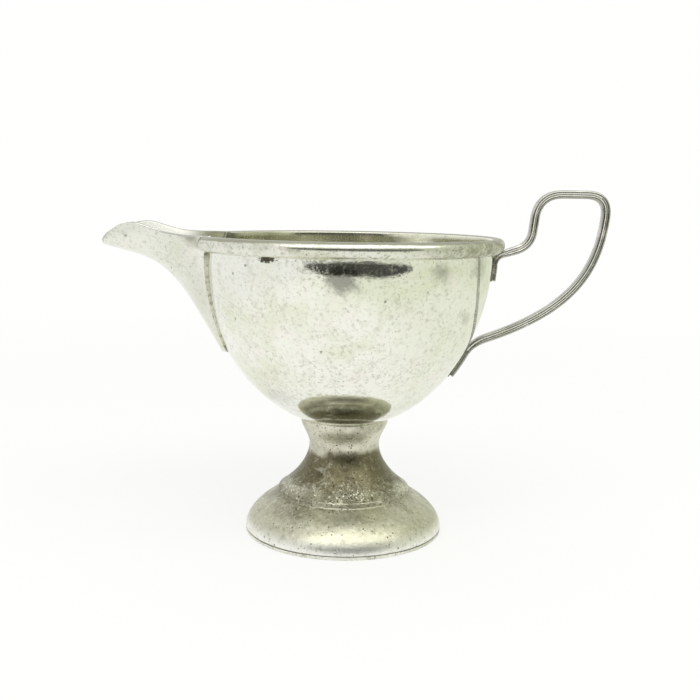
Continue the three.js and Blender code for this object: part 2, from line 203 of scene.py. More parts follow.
# A new node stands in the tree that its inputs come from, where no tree is given
def addNode(kind, inputs, tree=None, **settings):
    tree = tree or next(value.id_data for value in inputs.values() if isSocket(value))
    node = tree.nodes.new("ShaderNode" + kind)
    for key, value in settings.items():
        setattr(node, key, value)
    for key, value in inputs.items():
        socket = node.inputs[key]
        if isSocket(value):
            tree.links.new(value, socket)
        else:
            socket.default_value = (*value, 1) if socket.type == "RGBA" else value
    return node


def calculate(operation, first, *others):
    for other in others:
        first = addNode("Math", {0: first, 1: other}, operation=operation).outputs[0]
    return first


def times(*values):
    return calculate("MULTIPLY", *values)


def plus(*values):
    return calculate("ADD", *values)


def minus(*values):
    return calculate("SUBTRACT", *values)


def highest(*values):
    return calculate("MAXIMUM", *values)


# Rises from 0 at the first value to 1 at the second
def between(value, low, high):
    levels = {"Value": value, "From Min": low, "From Max": high}
    return addNode("MapRange", levels, interpolation_type="SMOOTHSTEP").outputs["Result"]


# Rises from the first value to the second, and falls again from the third to the fourth
def zone(value, start, full, fading, end):
    return times(between(value, start, full), between(value, end, fading))


# The first value where a share is 0, the second where it is 1
def ranged(share, low, high):
    return addNode("MapRange", {"Value": share, "To Min": low, "To Max": high}).outputs["Result"]


# A colour with another over it, by a share that may be a product
def tinted(colour, over, *shares):
    return addNode("Mix", {0: times(*shares), 6: colour, 7: over}, data_type="RGBA").outputs[2]


def distance(across, along):
    flat = addNode("CombineXYZ", dict(X=across, Y=along)).outputs[0]
    return addNode("VectorMath", {0: flat}, operation="LENGTH").outputs["Value"]


# Noise is given as (grain in millimetres, detail, roughness). Patches of it add the levels
# of noise at which they start and are full, and may add their strength and a distortion.
noiseMiddle = 0.5


def grain(where, size, detail, rough, distortion=0.0):
    look = dict(Vector=where, Scale=perMetre / size, Detail=detail, Roughness=rough, Distortion=distortion)
    return addNode("TexNoise", look).outputs["Fac"]


def patches(where, size, detail, rough, low, high, strength=1.0, distortion=0.0):
    return times(between(grain(where, size, detail, rough, distortion), low, high), strength)


# Noise that goes up and down by half its reach
def wander(where, size, detail, rough, reach):
    return times(minus(grain(where, size, detail, rough), noiseMiddle), reach)


# Noise as a bump, which adds the depth in millimetres
def lumps(where, size, detail, rough, depth):
    return grain(where, size, detail, rough), depth


speckFade = 0.4  # share of a speck's radius over which it fades out


# Round specks, one in a share of the cells: 1 in a speck, 0 outside; spacing and radius in millimetres
def specks(where, spacing, radius, share):
    cells = addNode("TexVoronoi", dict(Vector=where, Scale=perMetre / spacing)).outputs
    parts = addNode("SeparateColor", dict(Color=cells["Color"])).outputs
    edge = minus(times(parts[1], radius / spacing), cells["Distance"])
    shape = between(edge, 0.0, speckFade * radius / spacing)
    return times(shape, calculate("LESS_THAN", parts[0], share))


# The place pushed about by noise, which makes round shapes ragged; both lengths in millimetres
def distorted(where, size, reach):
    colour = addNode("TexNoise", dict(Vector=where, Scale=perMetre / size)).outputs["Color"]
    shift = addNode("VectorMath", {0: colour, 1: [noiseMiddle] * 3}, operation="SUBTRACT").outputs[0]
    push = {0: shift, 1: [2 * reach / perMetre] * 3, 2: where}
    return addNode("VectorMath", push, operation="MULTIPLY_ADD").outputs[0]


def stretched(where, scale):
    return addNode("Mapping", dict(Vector=where, Scale=scale)).outputs["Vector"]


unrolledRadius = 20  # millimetres


# The place on the jug in metres, unrolled round its axis, and as x, y, height and radius in millimetres
def jugPlaces(tree):
    where = addNode("TexCoord", {}, tree).outputs["Object"]
    parts = addNode("SeparateXYZ", dict(Vector=where)).outputs
    x = minus(times(parts[0], perMetre), axisX)
    y = times(parts[1], perMetre)
    up = times(parts[2], perMetre)
    way = times(calculate("ARCTAN2", y, x), unrolledRadius / perMetre)
    around = addNode("CombineXYZ", dict(X=way, Y=parts[2])).outputs[0]
    return SimpleNamespace(tree=tree, where=where, around=around, x=x, y=y, up=up, radius=distance(x, y))


# Bumps one over another, as (height, depth) pairs
def bumpy(*bumps):
    under = {}
    for height, depth in bumps:
        node = addNode("Bump", dict(under, Height=height, Distance=depth / perMetre))
        under = dict(Normal=node.outputs["Normal"])
    return under["Normal"]


def finishMaterial(colour, roughness, normal, metal=1.0):
    look = {"Base Color": colour, "Roughness": roughness, "Metallic": metal, "Normal": normal}
    addNode("OutputMaterial", dict(Surface=addNode("BsdfPrincipled", look).outputs[0]))


platePlan = dict(
    pale=(0.91, 0.91, 0.84),
    olive=(0.80, 0.82, 0.67),
    rosy=(0.92, 0.86, 0.82),
    smudge=(0.52, 0.52, 0.43),
    pit=(0.20, 0.19, 0.14),
    blotches=1.0,  # strengths of the rosy and the coarse patches, the fine ones and the pits
    mottle=0.7,
    pits=0.65,
    roughLow=0.03,
    roughHigh=0.11,
    metal=1.0,
    olivePatches=(17, 5, 0.6, 0.42, 0.66, 1.0, 0.3),
    rosyPatches=(9, 4, 0.6, 0.52, 0.7, 0.6),
    rosyStretch=(1, 1, 1.6),
    coarsePatches=(3.0, 4, 0.7, 0.5, 0.74, 0.34),
    crowds=(12, 4, 0.6, 0.36, 0.64),  # where the fine patches and the small pits are thickest
    crowdLift=0.05,
    fineGrain=(0.9, 4, 0.75),  # of the mottle
    fineLevels=(0.52, 0.72),
    pitRagged=(0.8, 0.22),  # grain and reach of their ragged edges, in millimetres
    smallPits=(1.05, 0.27, 0.42),  # spacing, largest radius and how many cells have one
    largePits=(3.1, 0.5, 0.35),
    roughGrain=(5, 5, 0.65),
    pitDull=0.2,
    polishStretch=(0.02, 1, 1),
    polish=(0.28, 3, 0.7, 0.0014),  # fine lines round the jug
    dents=(1.3, 3, 0.6, 0.008),
    waves=(5, 2, 0.55, 0.0256),
    pitDepth=0.012,
)


# Silver plate: clouds of olive and rose, fine mottling, pits in crowds and polishing lines
def makePlate(name, plan, marks=(), shades=()):
    material, tree = newMaterial(name)
    at = jugPlaces(tree)
    colour = tinted(plan["pale"], plan["olive"], patches(at.where, *plan["olivePatches"]))
    rosy = patches(stretched(at.where, plan["rosyStretch"]), *plan["rosyPatches"])
    colour = tinted(colour, plan["rosy"], rosy, plan["blotches"])
    roughness = ranged(grain(at.where, *plan["roughGrain"]), plan["roughLow"], plan["roughHigh"])
    metal = plan["metal"]
    for shadeAt, shadeColour, shadeDull in shades:
        share = shadeAt(at)
        colour = tinted(colour, shadeColour, share)
        roughness = plus(roughness, times(share, shadeDull))
        metal = highest(share, metal)

    crowd = patches(at.where, *plan["crowds"])
    fine = plus(grain(at.where, *plan["fineGrain"]), times(crowd, plan["crowdLift"]))
    fine = times(between(fine, *plan["fineLevels"]), plan["mottle"])
    colour = tinted(colour, plan["smudge"], fine)
    colour = tinted(colour, plan["smudge"], patches(at.where, *plan["coarsePatches"]), plan["blotches"])
    for *mark, look in marks:
        colour = tinted(colour, look["colour"], markShade(at, look["ragged"], *mark))

    ragged = distorted(at.where, *plan["pitRagged"])
    small = times(specks(ragged, *plan["smallPits"]), crowd)
    pit = highest(small, specks(ragged, *plan["largePits"]))
    colour = tinted(colour, plan["pit"], pit, plan["pits"])
    roughness = plus(roughness, times(plus(pit, fine), plan["pitDull"]))
    normal = bumpy(
        lumps(stretched(at.around, plan["polishStretch"]), *plan["polish"]),
        lumps(at.where, *plan["dents"]),
        lumps(at.where, *plan["waves"]),
        (minus(1.0, pit), plan["pitDepth"] * plan["pits"]),
    )
    finishMaterial(colour, roughness, normal, metal)
    return material


markFront = (-1, -3)  # y in millimetres from which the marks show and are full, so only on the front


# A mark, soft or ragged at its edge: a stain, a painted reflection or a painted shade
def markShade(at, ragged, x, height, halfWidth, halfHeight, strength, core):
    across = calculate("DIVIDE", minus(at.x, x), halfWidth)
    along = calculate("DIVIDE", minus(at.up, height), halfHeight)
    away = plus(distance(across, along), wander(at.where, *ragged))
    return times(between(away, 1.0, core), strength, between(at.y, *markFront))


# The edge's noise is given with its reach, as a share of the mark's size
# grey stains, and the painted reflection of a soft shadow on the floor in front of the jug
greyStainAndReflection = dict(colour=(0.33, 0.33, 0.28), ragged=(2.2, 4, 0.7, 1.6))
# painted shade: the pedestal's reflection on the bowl's underside made darker, as if the bowl shaded the
# pedestal
footReflectionShade = dict(greyStainAndReflection, ragged=(2.2, 4, 0.7, 0.12))
# painted reflection of a small dark thing in front of the jug, as a black spot
darkObjectReflection = dict(colour=(0.08, 0.07, 0.05), ragged=(0.9, 4, 0.7, 2.4))
# dark smudges on the spout
spoutDarkening = dict(colour=(0.36, 0.36, 0.28), ragged=(1.6, 4, 0.7, 0.5))

# Marks as (x, height, half width, half height, strength, share of the size that is even, look); some are
# painted reflections and painted shade
bowlMarks = [
    # painted reflection of a soft shadow on the floor in front of the jug
    (-0.8, 73.7, 5.4, 4.6, 1.0, 0.3, greyStainAndReflection),
    (22.9, 75.1, 4.0, 3.4, 0.7, 0.0, greyStainAndReflection),
    (30.3, 63.0, 2.0, 2.6, 0.4, 0.0, greyStainAndReflection),
    (33.6, 75.6, 4.0, 5.0, 0.5, 0.0, greyStainAndReflection),
    (-17.5, 41.0, 7.0, 4.5, 0.3, 0.0, greyStainAndReflection),
    # painted shade over the pedestal's reflection on the bowl's underside
    (0.3, 37.9, 12.2, 5.2, 0.45, 0.8, footReflectionShade),
    # painted reflection of a small dark thing, just under the rim
    (-19.1, 77.9, 2.6, 0.9, 1.0, 0.6, darkObjectReflection),
]
spoutMarks = [
    # three dark smudges along the crease where the near lip meets the rim's end, a soft one low by the seam
    # and a small one near the beak
    (-41.6, 83.2, 3.0, 1.9, 0.8, 0.0, spoutDarkening),
    (-39.7, 81.9, 3.2, 2.0, 0.9, 0.0, spoutDarkening),
    (-37.6, 80.4, 3.0, 1.9, 0.85, 0.0, spoutDarkening),
    (-37.0, 67.0, 7.0, 14.0, 0.22, 0.0, spoutDarkening),
    (-58.6, 82.0, 0.7, 0.6, 0.8, 0.3, spoutDarkening),
]

# Where the plate is duller or cleaner, in millimetres from the axis
shadePlan = dict(
    held=(12, 32),
    heldPatches=(2.2, 5, 0.75, 0.4, 0.6),
    heldLeast=0.25,
    grime=(0.72, 0.98),  # how far the metal faces up, as a share
    grimeGrain=(2.5, 5, 0.7),
    grimeReach=0.3,
    grimeSpout=(-12, -28),
    grimeMore=0.2,
    root=(49.5, 43.6),
    rootGrain=(3, 4, 0.6),
    rootReach=2.0,
    notch=(-31, -34),
    handleSide=(13, 18, 30, 46),
)


# The rim is dull and mottled towards the handle, where it is held
def heldRim(at):
    patchy = ranged(patches(at.where, *shadePlan["heldPatches"]), shadePlan["heldLeast"], 1.0)
    return times(between(at.x, *shadePlan["held"]), patchy)


# It is grimy on top, along the edge of the bowl, and more so near the spout
def rimGrime(at):
    normal = addNode("NewGeometry", {}, at.tree).outputs["Normal"]
    facing = addNode("SeparateXYZ", dict(Vector=normal)).outputs[2]
    ragged = times(grain(at.where, *shadePlan["grimeGrain"]), shadePlan["grimeReach"])
    nearSpout = times(between(at.x, *shadePlan["grimeSpout"]), shadePlan["grimeMore"])
    return between(plus(facing, ragged, nearSpout), *shadePlan["grime"])


# The trough is light at its beak and dark at its root, which opens into the bowl
def troughRoot(at):
    ragged = times(grain(at.where, *shadePlan["rootGrain"]), shadePlan["rootReach"])
    return between(plus(at.radius, ragged), *shadePlan["root"])


# The bowl's inside is dark round the notch, and lighter on the handle's side, where a highlight is painted
def insideNotch(at):
    return between(at.x, *shadePlan["notch"])


# painted highlight: the inside made lighter towards the handle
def insideRightHighlight(at):
    return zone(at.x, *shadePlan["handleSide"])


# Finishes of the plate; shades are given as (where they lie, colour, added roughness)

bowlPlate = makePlate("silver_plate_bowl", platePlan, bowlMarks)
dullPlan = dict(platePlan, blotches=1.2, mottle=0.6, roughLow=0.12, roughHigh=0.24)
rimPlan = dict(
    dullPlan,
    pale=(0.80, 0.81, 0.72),
    olive=(0.64, 0.64, 0.51),
    smudge=(0.34, 0.34, 0.26),
    mottle=0.8,
)
rimShades = [(heldRim, (0.40, 0.40, 0.29), 0.18), (rimGrime, (0.36, 0.36, 0.28), 0.1)]
rimPlate = makePlate("silver_plate_rim", rimPlan, shades=rimShades)
insidePlan = dict(dullPlan, pale=(0.55, 0.55, 0.43), olive=(0.43, 0.43, 0.30))
insideShades = [(insideNotch, (0.20, 0.20, 0.14), 0.3), (insideRightHighlight, (0.88, 0.88, 0.72), 0.05)]
insidePlate = makePlate("silver_plate_inside", insidePlan, shades=insideShades)
sheetPlan = dict(platePlan, pale=(0.83, 0.84, 0.76), olive=(0.76, 0.78, 0.63))
spoutPlate = makePlate("silver_plate_spout", sheetPlan, spoutMarks)
troughPlan = dict(
    platePlan,
    pale=(0.96, 0.96, 0.93),
    olive=(0.91, 0.91, 0.86),
    rosy=(0.95, 0.94, 0.91),
    blotches=0.3,
    mottle=0.05,
    pits=0.12,
    roughLow=0.42,
    roughHigh=0.55,
    metal=0.15,
)
troughShades = [(troughRoot, (0.20, 0.20, 0.135), 0.0)]
troughPlate = makePlate("silver_plate_trough", troughPlan, shades=troughShades)
wirePlan = dict(dullPlan, pale=(0.44, 0.44, 0.40), olive=(0.36, 0.36, 0.30), roughLow=0.14, pits=0.4)
wirePlate = makePlate("silver_plate_wire", wirePlan)
# painted shade: the tabs' sides towards the bowl, dark as if in shadow
tabShadePlan = dict(wirePlan, pale=(0.24, 0.24, 0.20), olive=(0.17, 0.17, 0.13), roughLow=0.25, roughHigh=0.4)
tabShadePlate = makePlate("silver_plate_tab_shade", tabShadePlan)
edgePlan = dict(dullPlan, pale=(0.56, 0.56, 0.52), olive=(0.46, 0.46, 0.39))
edgePlate = makePlate("silver_plate_edge", edgePlan)
# painted shade on one side of the handle's grooves
grooveShadePlan = dict(wirePlan, pale=(0.24, 0.235, 0.20), olive=(0.32, 0.31, 0.26), roughLow=0.3, roughHigh=0.4)
grooveShadePlate = makePlate("silver_plate_groove_shade", grooveShadePlan)
# painted highlight: a bright line along the other side of the handle's grooves
grooveHighlightPlan = dict(
    platePlan,
    pale=(0.96, 0.96, 0.91),
    olive=(0.90, 0.90, 0.82),
    mottle=0.3,
    roughLow=0.2,
    roughHigh=0.32,
    metal=0.15,
)
grooveHighlightPlate = makePlate("silver_plate_groove_highlight", grooveHighlightPlan)
print("plate finishes made")


# Bowl: half an ellipse turned about the axis, with a straight band above it

bowlPlan = dict(
    depth=49.9,  # of the half ellipse
    band=3.0,  # from there to the top of the rim
    wall=0.9,
    edgeDrop=0.3,  # its edge lies this far under the top of the rim
    edgeRound=0.35,
    edgeBreak=0.1,  # where it meets the rim's wire
    edgeSteps=4,
    edgeFaces=3,  # faces over the edge that look like the outside
    notchMargin=1.0,  # the notch behind the spout keeps this far inside it
    notchSteps=60,
    rows=72,
    column=2.0,  # degrees between columns
    notchColumn=0.5,  # and near the notch
    notchWidth=27.0,
)
bowlDepth = bowlPlan["depth"]
bowlCentre = rimTop - bowlPlan["band"]


def bowlRadiusAt(height, offset=0.0):
    down = max(0.0, bowlCentre - height) / (bowlDepth + offset)
    return (bowlRadius + offset) * sqrt(max(0.0, 1 - down * down))


def bowlHeightAt(radius):
    return bowlCentre - bowlDepth * sqrt(1 - (radius / bowlRadius) ** 2)


def bowlNormal(point):
    down = min(0.0, point.z - bowlCentre) / bowlDepth**2
    return Vector((point.x / bowlRadius**2, point.y / bowlRadius**2, down)).normalized()


# Spout: sections from the keel up to the lips, from the bowl out to the beak

spoutPlan = dict(
    sheet=1.0,
    tipDrop=3.5,  # the tip lies this far under the top of the rim
    keelFoot=32.4,  # the keel starts this far under it
    keelStand=1.5,
    keelFootLean=2.0,  # degrees
    keelFootPull=30.0,
    keelTipSlope=14.5,  # degrees
    keelTipPull=15.0,
    keelSteps=200,
    mouthHalf=19.0,  # half the width where the lips leave the rim
    waistHalf=12.4,
    beakHalf=9.3,
    beakRound=1.7,
    tipBack=0.9,  # the sheet ends this far inside the whole length, for its round edge
    beakLength=5.6,
    beakBulge=1.9,  # 1 for a straight pouring edge and more for a rounder one
    bulgePower=3,  # the higher, the nearer to the beak it begins
    lipDip=0.3,
    lipRise=2.8,
    lipFlare=4.4,
    lipSteps=60,
    flareFade=1.5,
    flareHook=4.0,
    mouthSquare=3.0,
    beakSquare=2.3,
    sunk=0.35,  # its edge reaches this far into the bowl's wall
    seamRange=(-0.2, 0.5),  # the seam is looked for between these places
    seamHalvings=30,
    rows=84,
    columns=120,
    edgeTurns=5,
    tipTurns=4,
    dullEdge=5,  # faces of the edges that are dull
)
keelFootHeight = rimTop - spoutPlan["keelFoot"]


def makeKeel(plan):
    foot = Vector((-bowlRadiusAt(keelFootHeight), 0, keelFootHeight))
    normal = bowlNormal(foot)
    slope = atan2(-normal.x, -normal.z) + radians(plan["keelFootLean"])
    tipSlope = radians(plan["keelTipSlope"])
    tip = Vector((plan["tipBack"] - spoutReach, 0, rimTop - plan["tipDrop"]))
    start = foot - Vector((plan["keelStand"], 0, 0))
    leave = start + plan["keelFootPull"] * Vector((-cos(slope), 0, sin(slope)))
    reach = tip + plan["keelTipPull"] * Vector((cos(tipSlope), 0, -sin(tipSlope)))
    return evenly([cubic(start, leave, reach, tip, t) for t in steps(0, 1, plan["keelSteps"])])


def makeLip(plan):
    mouthHalf = plan["mouthHalf"]
    mouthX = -sqrt(rimRadius**2 - mouthHalf**2)
    cornerX = plan["tipBack"] + plan["beakLength"] - spoutReach
    beakX = cornerX + 2 * plan["beakRound"]
    mouthHeight = rimTop - plan["lipDip"]
    places = [
        (mouthX + 2 * (rimRadius - bowlRadius), mouthHalf, mouthHeight),
        (mouthX, mouthHalf, mouthHeight),
        ((mouthX + beakX) / 2, plan["waistHalf"], rimTop + plan["lipDip"]),
        (beakX, plan["beakHalf"], rimTop + plan["lipRise"]),
        (cornerX, plan["beakHalf"] - plan["beakRound"], rimTop + plan["lipRise"] - plan["lipDip"]),
    ]
    return evenly(through([Vector(place) for place in places], plan["lipSteps"]))


keelAt = makeKeel(spoutPlan)
lipAt = makeLip(spoutPlan)


# out runs from 0 at the bowl to 1 at the beak, across from -1 at one lip to 1 at the other
def spoutPoint(out, across):
    plan = spoutPlan
    if out < 0:
        return spoutPoint(0, across) + Vector((-out * spoutReach, 0, 0))
    low = keelAt(out)
    high = lipAt(out)
    angle = abs(across) * pi / 2
    power = 2 / lerp(plan["mouthSquare"], plan["beakSquare"], out)
    rise = 1 - max(0.0, cos(angle)) ** power
    flare = plan["lipFlare"] * (1 - out) ** plan["flareFade"]
    half = (high.y - flare) * sin(angle) ** power + flare * rise ** plan["flareHook"]
    side = 1 if across > 0 else -1
    back = rise ** lerp(1, plan["beakBulge"], out ** plan["bulgePower"])
    return Vector((lerp(low.x, high.x, back), side * half, lerp(low.z, high.z, rise)))


def spoutNormal(out, across):
    step = 2e-3
    far = min(1.0, out + step)
    goingOut = spoutPoint(far, across) - spoutPoint(far - 2 * step, across)
    goingUp = spoutPoint(out, min(1.0, across + step)) - spoutPoint(out, max(-1.0, across - step))
    return goingOut.cross(goingUp).normalized()


# How far out the spout's surface leaves the bowl, for one line across
def seamPlace(across):
    inside, outside = spoutPlan["seamRange"]
    for halving in range(spoutPlan["seamHalvings"]):
        out = (inside + outside) / 2
        point = spoutPoint(out, across)
        if hypot(point.x, point.y) > bowlRadiusAt(point.z):
            outside = out
        else:
            inside = out
    return outside


# One closed loop round a sheet's section, with round edges
def loopRound(outer, inner, turns):
    def edge(a, b, away):
        middle, half = (a + b) / 2, (a - b) / 2
        away = away.normalized() * half.length
        return [middle + half * cos(turn) + away * sin(turn) for turn in turns]

    far = edge(outer[-1], inner[-1], outer[-1] - outer[-2])
    near = edge(inner[0], outer[0], outer[0] - outer[1])
    return outer + far + inner[::-1] + near


# The point of such a loop on the other side of the sheet
def partnerOf(j, count, edges):
    if j < 2 * count + edges:
        return 2 * count + edges - 1 - j
    return 4 * count + 3 * edges - 1 - j


def makeSpout(plan):
    rows, columns, dull = plan["rows"], plan["columns"], plan["dullEdge"]
    acrossList = steps(-1, 1, columns)
    starts = [seamPlace(across) - plan["sunk"] / spoutReach for across in acrossList]
    edgeTurns = [radians(turn) for turn in steps(0, 180, plan["edgeTurns"] + 1)[1:-1]]
    rings = []
    for i in range(rows + 1):
        outer, inner = [], []
        for across, start in zip(acrossList, starts):
            out = lerp(start, 1, i / rows)
            point = spoutPoint(out, across)
            within = point - spoutNormal(out, across) * plan["sheet"]
            within.z = min(within.z, lipAt(max(0.0, out)).z)
            outer.append(point)
            inner.append(within)
        rings.append(loopRound(outer, inner, edgeTurns))
    last, before = rings[-1], rings[-2]
    loop = len(last)
    reach = plan["sheet"] / 2
    for turn in steps(0, 90, plan["tipTurns"])[1:]:
        turn = radians(turn)
        ring = []
        for j, point in enumerate(last):
            middle = (point + last[partnerOf(j, columns + 1, len(edgeTurns))]) / 2
            ahead = (point - before[j]).normalized() * reach * sin(turn)
            ring.append(middle + (point - middle) * cos(turn) + ahead)
        rings.append(ring)
    points = [point for ring in rings for point in ring]
    faces = ringFaces(len(rings), loop)
    faces.append(tuple(reversed(range(loop))))

    # 1 for the inside of the trough and 2 for the outer part of its edges
    def indexOf(face):
        place = face % loop
        if place < columns:
            return 2 if face >= rows * loop else 0
        return 2 if place < columns + dull or place >= loop - dull else 1

    return points, faces, indexOf


spoutLooks = [spoutPlate, troughPlate, edgePlate]
makePiece("spout_sheet", "spout", "silver_plate", spoutLooks, *makeSpout(spoutPlan))


# The notch behind the spout as (distance from the middle, height) pairs of the bowl's edge
def makeNotchEdge(plan, inward):
    edge = []
    for across in steps(0, 1, plan["notchSteps"]):
        out = seamPlace(across)
        point = spoutPoint(out, across) - spoutNormal(out, across) * inward
        if not edge or point.y > edge[-1][0]:
            edge.append((point.y, point.z))
    return edge


# Height of such an edge at one distance
def edgeAt(edge, y):
    for (y0, z0), (y1, z1) in zip(edge, edge[1:]):
        if y <= y1:
            return lerp(z0, z1, clamp((y - y0) / (y1 - y0)))
    return edge[-1][1]


# The bowl's section as (radius, height) pairs, from beside its lowest point up to the given height
def wallPairs(radius, depth, top, rows):
    if top > bowlCentre:
        end = pi / 2 + (top - bowlCentre) / depth
    else:
        end = acos(clamp((bowlCentre - top) / depth))
    pairs = []
    for angle in steps(0, end, rows)[1:]:
        if angle < pi / 2:
            pairs.append((radius * sin(angle), bowlCentre - depth * cos(angle)))
        else:
            pairs.append((radius, bowlCentre + (angle - pi / 2) * depth))
    return pairs


def makeBowl(plan):
    edgeHeight = rimTop - plan["edgeDrop"]
    wall, edgeRound, edgeBreak, rows = plan["wall"], plan["edgeRound"], plan["edgeBreak"], plan["rows"]
    notch = makeNotchEdge(plan, spoutPlan["sheet"] + plan["notchMargin"])
    seam = makeNotchEdge(plan, 0)

    def topAt(turn):
        y = abs(bowlRadius * sin(turn))
        if cos(turn) > 0 or y > notch[-1][0]:
            return edgeHeight
        return min(edgeHeight, edgeAt(notch, y))

    width = plan["notchWidth"]
    turns = [180 + turn for turn in steps(-width, width, round(2 * width / plan["notchColumn"]))]
    turns += steps(180 + width, 540 - width, round((360 - 2 * width) / plan["column"]))[1:-1]
    points = []
    for turn in [radians(turn) for turn in turns]:
        top = topAt(turn)
        outer = wallPairs(bowlRadius, bowlDepth, top - edgeBreak, rows)
        inner = wallPairs(bowlRadius - wall, bowlDepth - wall, top - edgeRound, rows)
        arcX, arcZ = inner[-1][0] + edgeRound, top - edgeRound
        crown = arcPairs(arcX, arcZ, edgeRound, edgeRound, 90, 180, plan["edgeSteps"])[:-1]
        column = [*outer, (outer[-1][0] - edgeBreak, top), *crown, *inner[::-1]]
        points += [(r * cos(turn), r * sin(turn), z) for r, z in column]
    count = len(column)
    starts = [i * count for i in range(len(turns))]
    pairs = list(zip(starts, starts[1:] + starts[:1]))
    faces = [(a + j, b + j, b + j + 1, a + j + 1) for a, b in pairs for j in range(count - 1)]
    wallFaces = len(faces)

    # round its lowest point, outside and inside
    low, inside = len(points), len(points) + 1
    points += [(0, 0, bowlCentre - bowlDepth), (0, 0, bowlCentre - bowlDepth + wall)]
    for a, b in pairs:
        faces += [(low, b, a), (inside, a + count - 1, b + count - 1)]

    # 1 for the faces inside the bowl, round the notch and between the notch and the seam
    def indexOf(face):
        if face >= wallFaces:
            return (face - wallFaces) % 2
        column, row = divmod(face, count - 1)
        x, y, z = points[column * count + row]
        if x < 0 and abs(y) < seam[-1][0] and z > edgeAt(seam, abs(y)):
            return 1
        return 1 if row >= rows + plan["edgeFaces"] else 0

    return points, faces, indexOf


makePiece("bowl_cup", "bowl", "silver_plate", [bowlPlate, insidePlate], *makeBowl(bowlPlan))


# Rim moulding: a half-round wire outside the band, open at the spout

mouldingPlan = dict(
    height=4.3,
    belly=2.5,  # height of the curved underside
    bellySteps=14,
    crownRound=1.8,
    crownSteps=12,
    crownFall=0.3,  # it falls by this much to the bowl's edge
    topSteps=6,
    sunk=0.15,  # it reaches this far into the band
    end=0.6,  # stands this far off the spout's lips
    endRound=0.3,
    endTurns=(0, 30, 60),  # degrees round its ends
    steps=220,
)


def mouldingSection(plan):
    inside = bowlRadius - plan["sunk"]
    under = rimTop - plan["height"] + plan["belly"]
    crown = rimTop - plan["crownRound"]
    topX = rimRadius - plan["crownRound"]
    section = arcPairs(inside, under, rimRadius - inside, plan["belly"], -90, 0, plan["bellySteps"])
    section += arcPairs(topX, crown, plan["crownRound"], plan["crownRound"], 0, 90, plan["crownSteps"])
    for share in steps(0, 1, plan["topSteps"])[1:]:
        section.append((lerp(topX, inside, share), rimTop - plan["crownFall"] * share**2))
    return section


def makeMoulding(plan):
    section = mouldingSection(plan)
    middleX = sum(x for x, z in section) / len(section)
    middleZ = sum(z for x, z in section) / len(section)
    half = spoutPlan["mouthHalf"] + plan["end"]
    start = atan2(half, sqrt(rimRadius**2 - half**2))
    endTurn = plan["endRound"] / rimRadius
    ends = []
    for angle in plan["endTurns"]:
        across, along = cos(radians(angle)), sin(radians(angle))
        ends.append((start + endTurn * (1 - across), plan["endRound"] * (1 - along)))
    turns = ends + [(turn, 0.0) for turn in steps(start + endTurn, 2 * pi - start - endTurn, plan["steps"])]
    turns += [(2 * pi - turn, shrink) for turn, shrink in reversed(ends)]
    rings = []
    for turn, shrink in turns:
        ring = []
        for x, z in section:
            share = 1 - shrink / hypot(x - middleX, z - middleZ)
            x, z = middleX + (x - middleX) * share, middleZ + (z - middleZ) * share
            ring.append((-x * cos(turn), x * sin(turn), z))
        rings.append(ring)
    return capped(rings)


makePiece("rim_bead", "rim_moulding", "silver_plate", [rimPlate], *makeMoulding(mouldingPlan))


# Handle: reeded wire, flattened into a tab at each end

handlePlan = dict(
    depth=29.2,  # its outside beyond the rim
    rise=13.1,  # its top over the rim
    thick=2.25,
    wide=2.9,
    groove=0.6,  # depth of the groove between its two lobes
    edge=0.6,  # depth by which each lobe rounds off at its other side
    lobePower=2.1,  # 2 for round lobes and more for flatter ones
    tabThick=1.65,
    tabGroove=0.25,  # share of the groove that is left in the tabs
    upperTab=6.6,
    lowerTab=9.1,
    tabRamp=4.5,
    tabBend=2.4,
    riserBend=4.0,
    shoulderBend=6.6,
    outerBend=6.0,
    heelBend=4.0,
    runDrop=5.1,
    runSlope=18.0,
    riserStand=7.5,
    riserLean=1.6,
    sweepLean=2.0,
    sweepPull=15.0,
    sweepEndPull=24.5,
    sweepEndSlope=19.5,
    foot=29.0,  # the loop meets the bowl this far under the rim
    heelDrop=3.0,
    seat=0.02,  # the tabs stand this far off the wall
    upperTabSteps=8,
    lowerTabSteps=16,
    bendSteps=24,
    sweepSteps=90,
    steps=420,
    lobeSteps=10,
    grooveShadeFaces=2,  # faces on the shaded side of the groove's middle that are painted dark as shade
    grooveHighlightFaces=3,  # and on its other side that are painted bright as a highlight
    sidesSwap=0.39,  # share of the length from which the side painted in shade is the outer one
    shadedUpper=0.062,  # shares of its length at the tabs whose side towards the bowl is painted in shade
    shadedLower=0.075,
)
runHeight = rimTop - handlePlan["runDrop"]
footHeight = rimTop - handlePlan["foot"]


def tabX(height):
    return bowlRadiusAt(height, handlePlan["seat"] + handlePlan["tabThick"] / 2)


def tabLine(start, end, count):
    return [Vector((tabX(height), height)) for height in steps(start, end, count)]


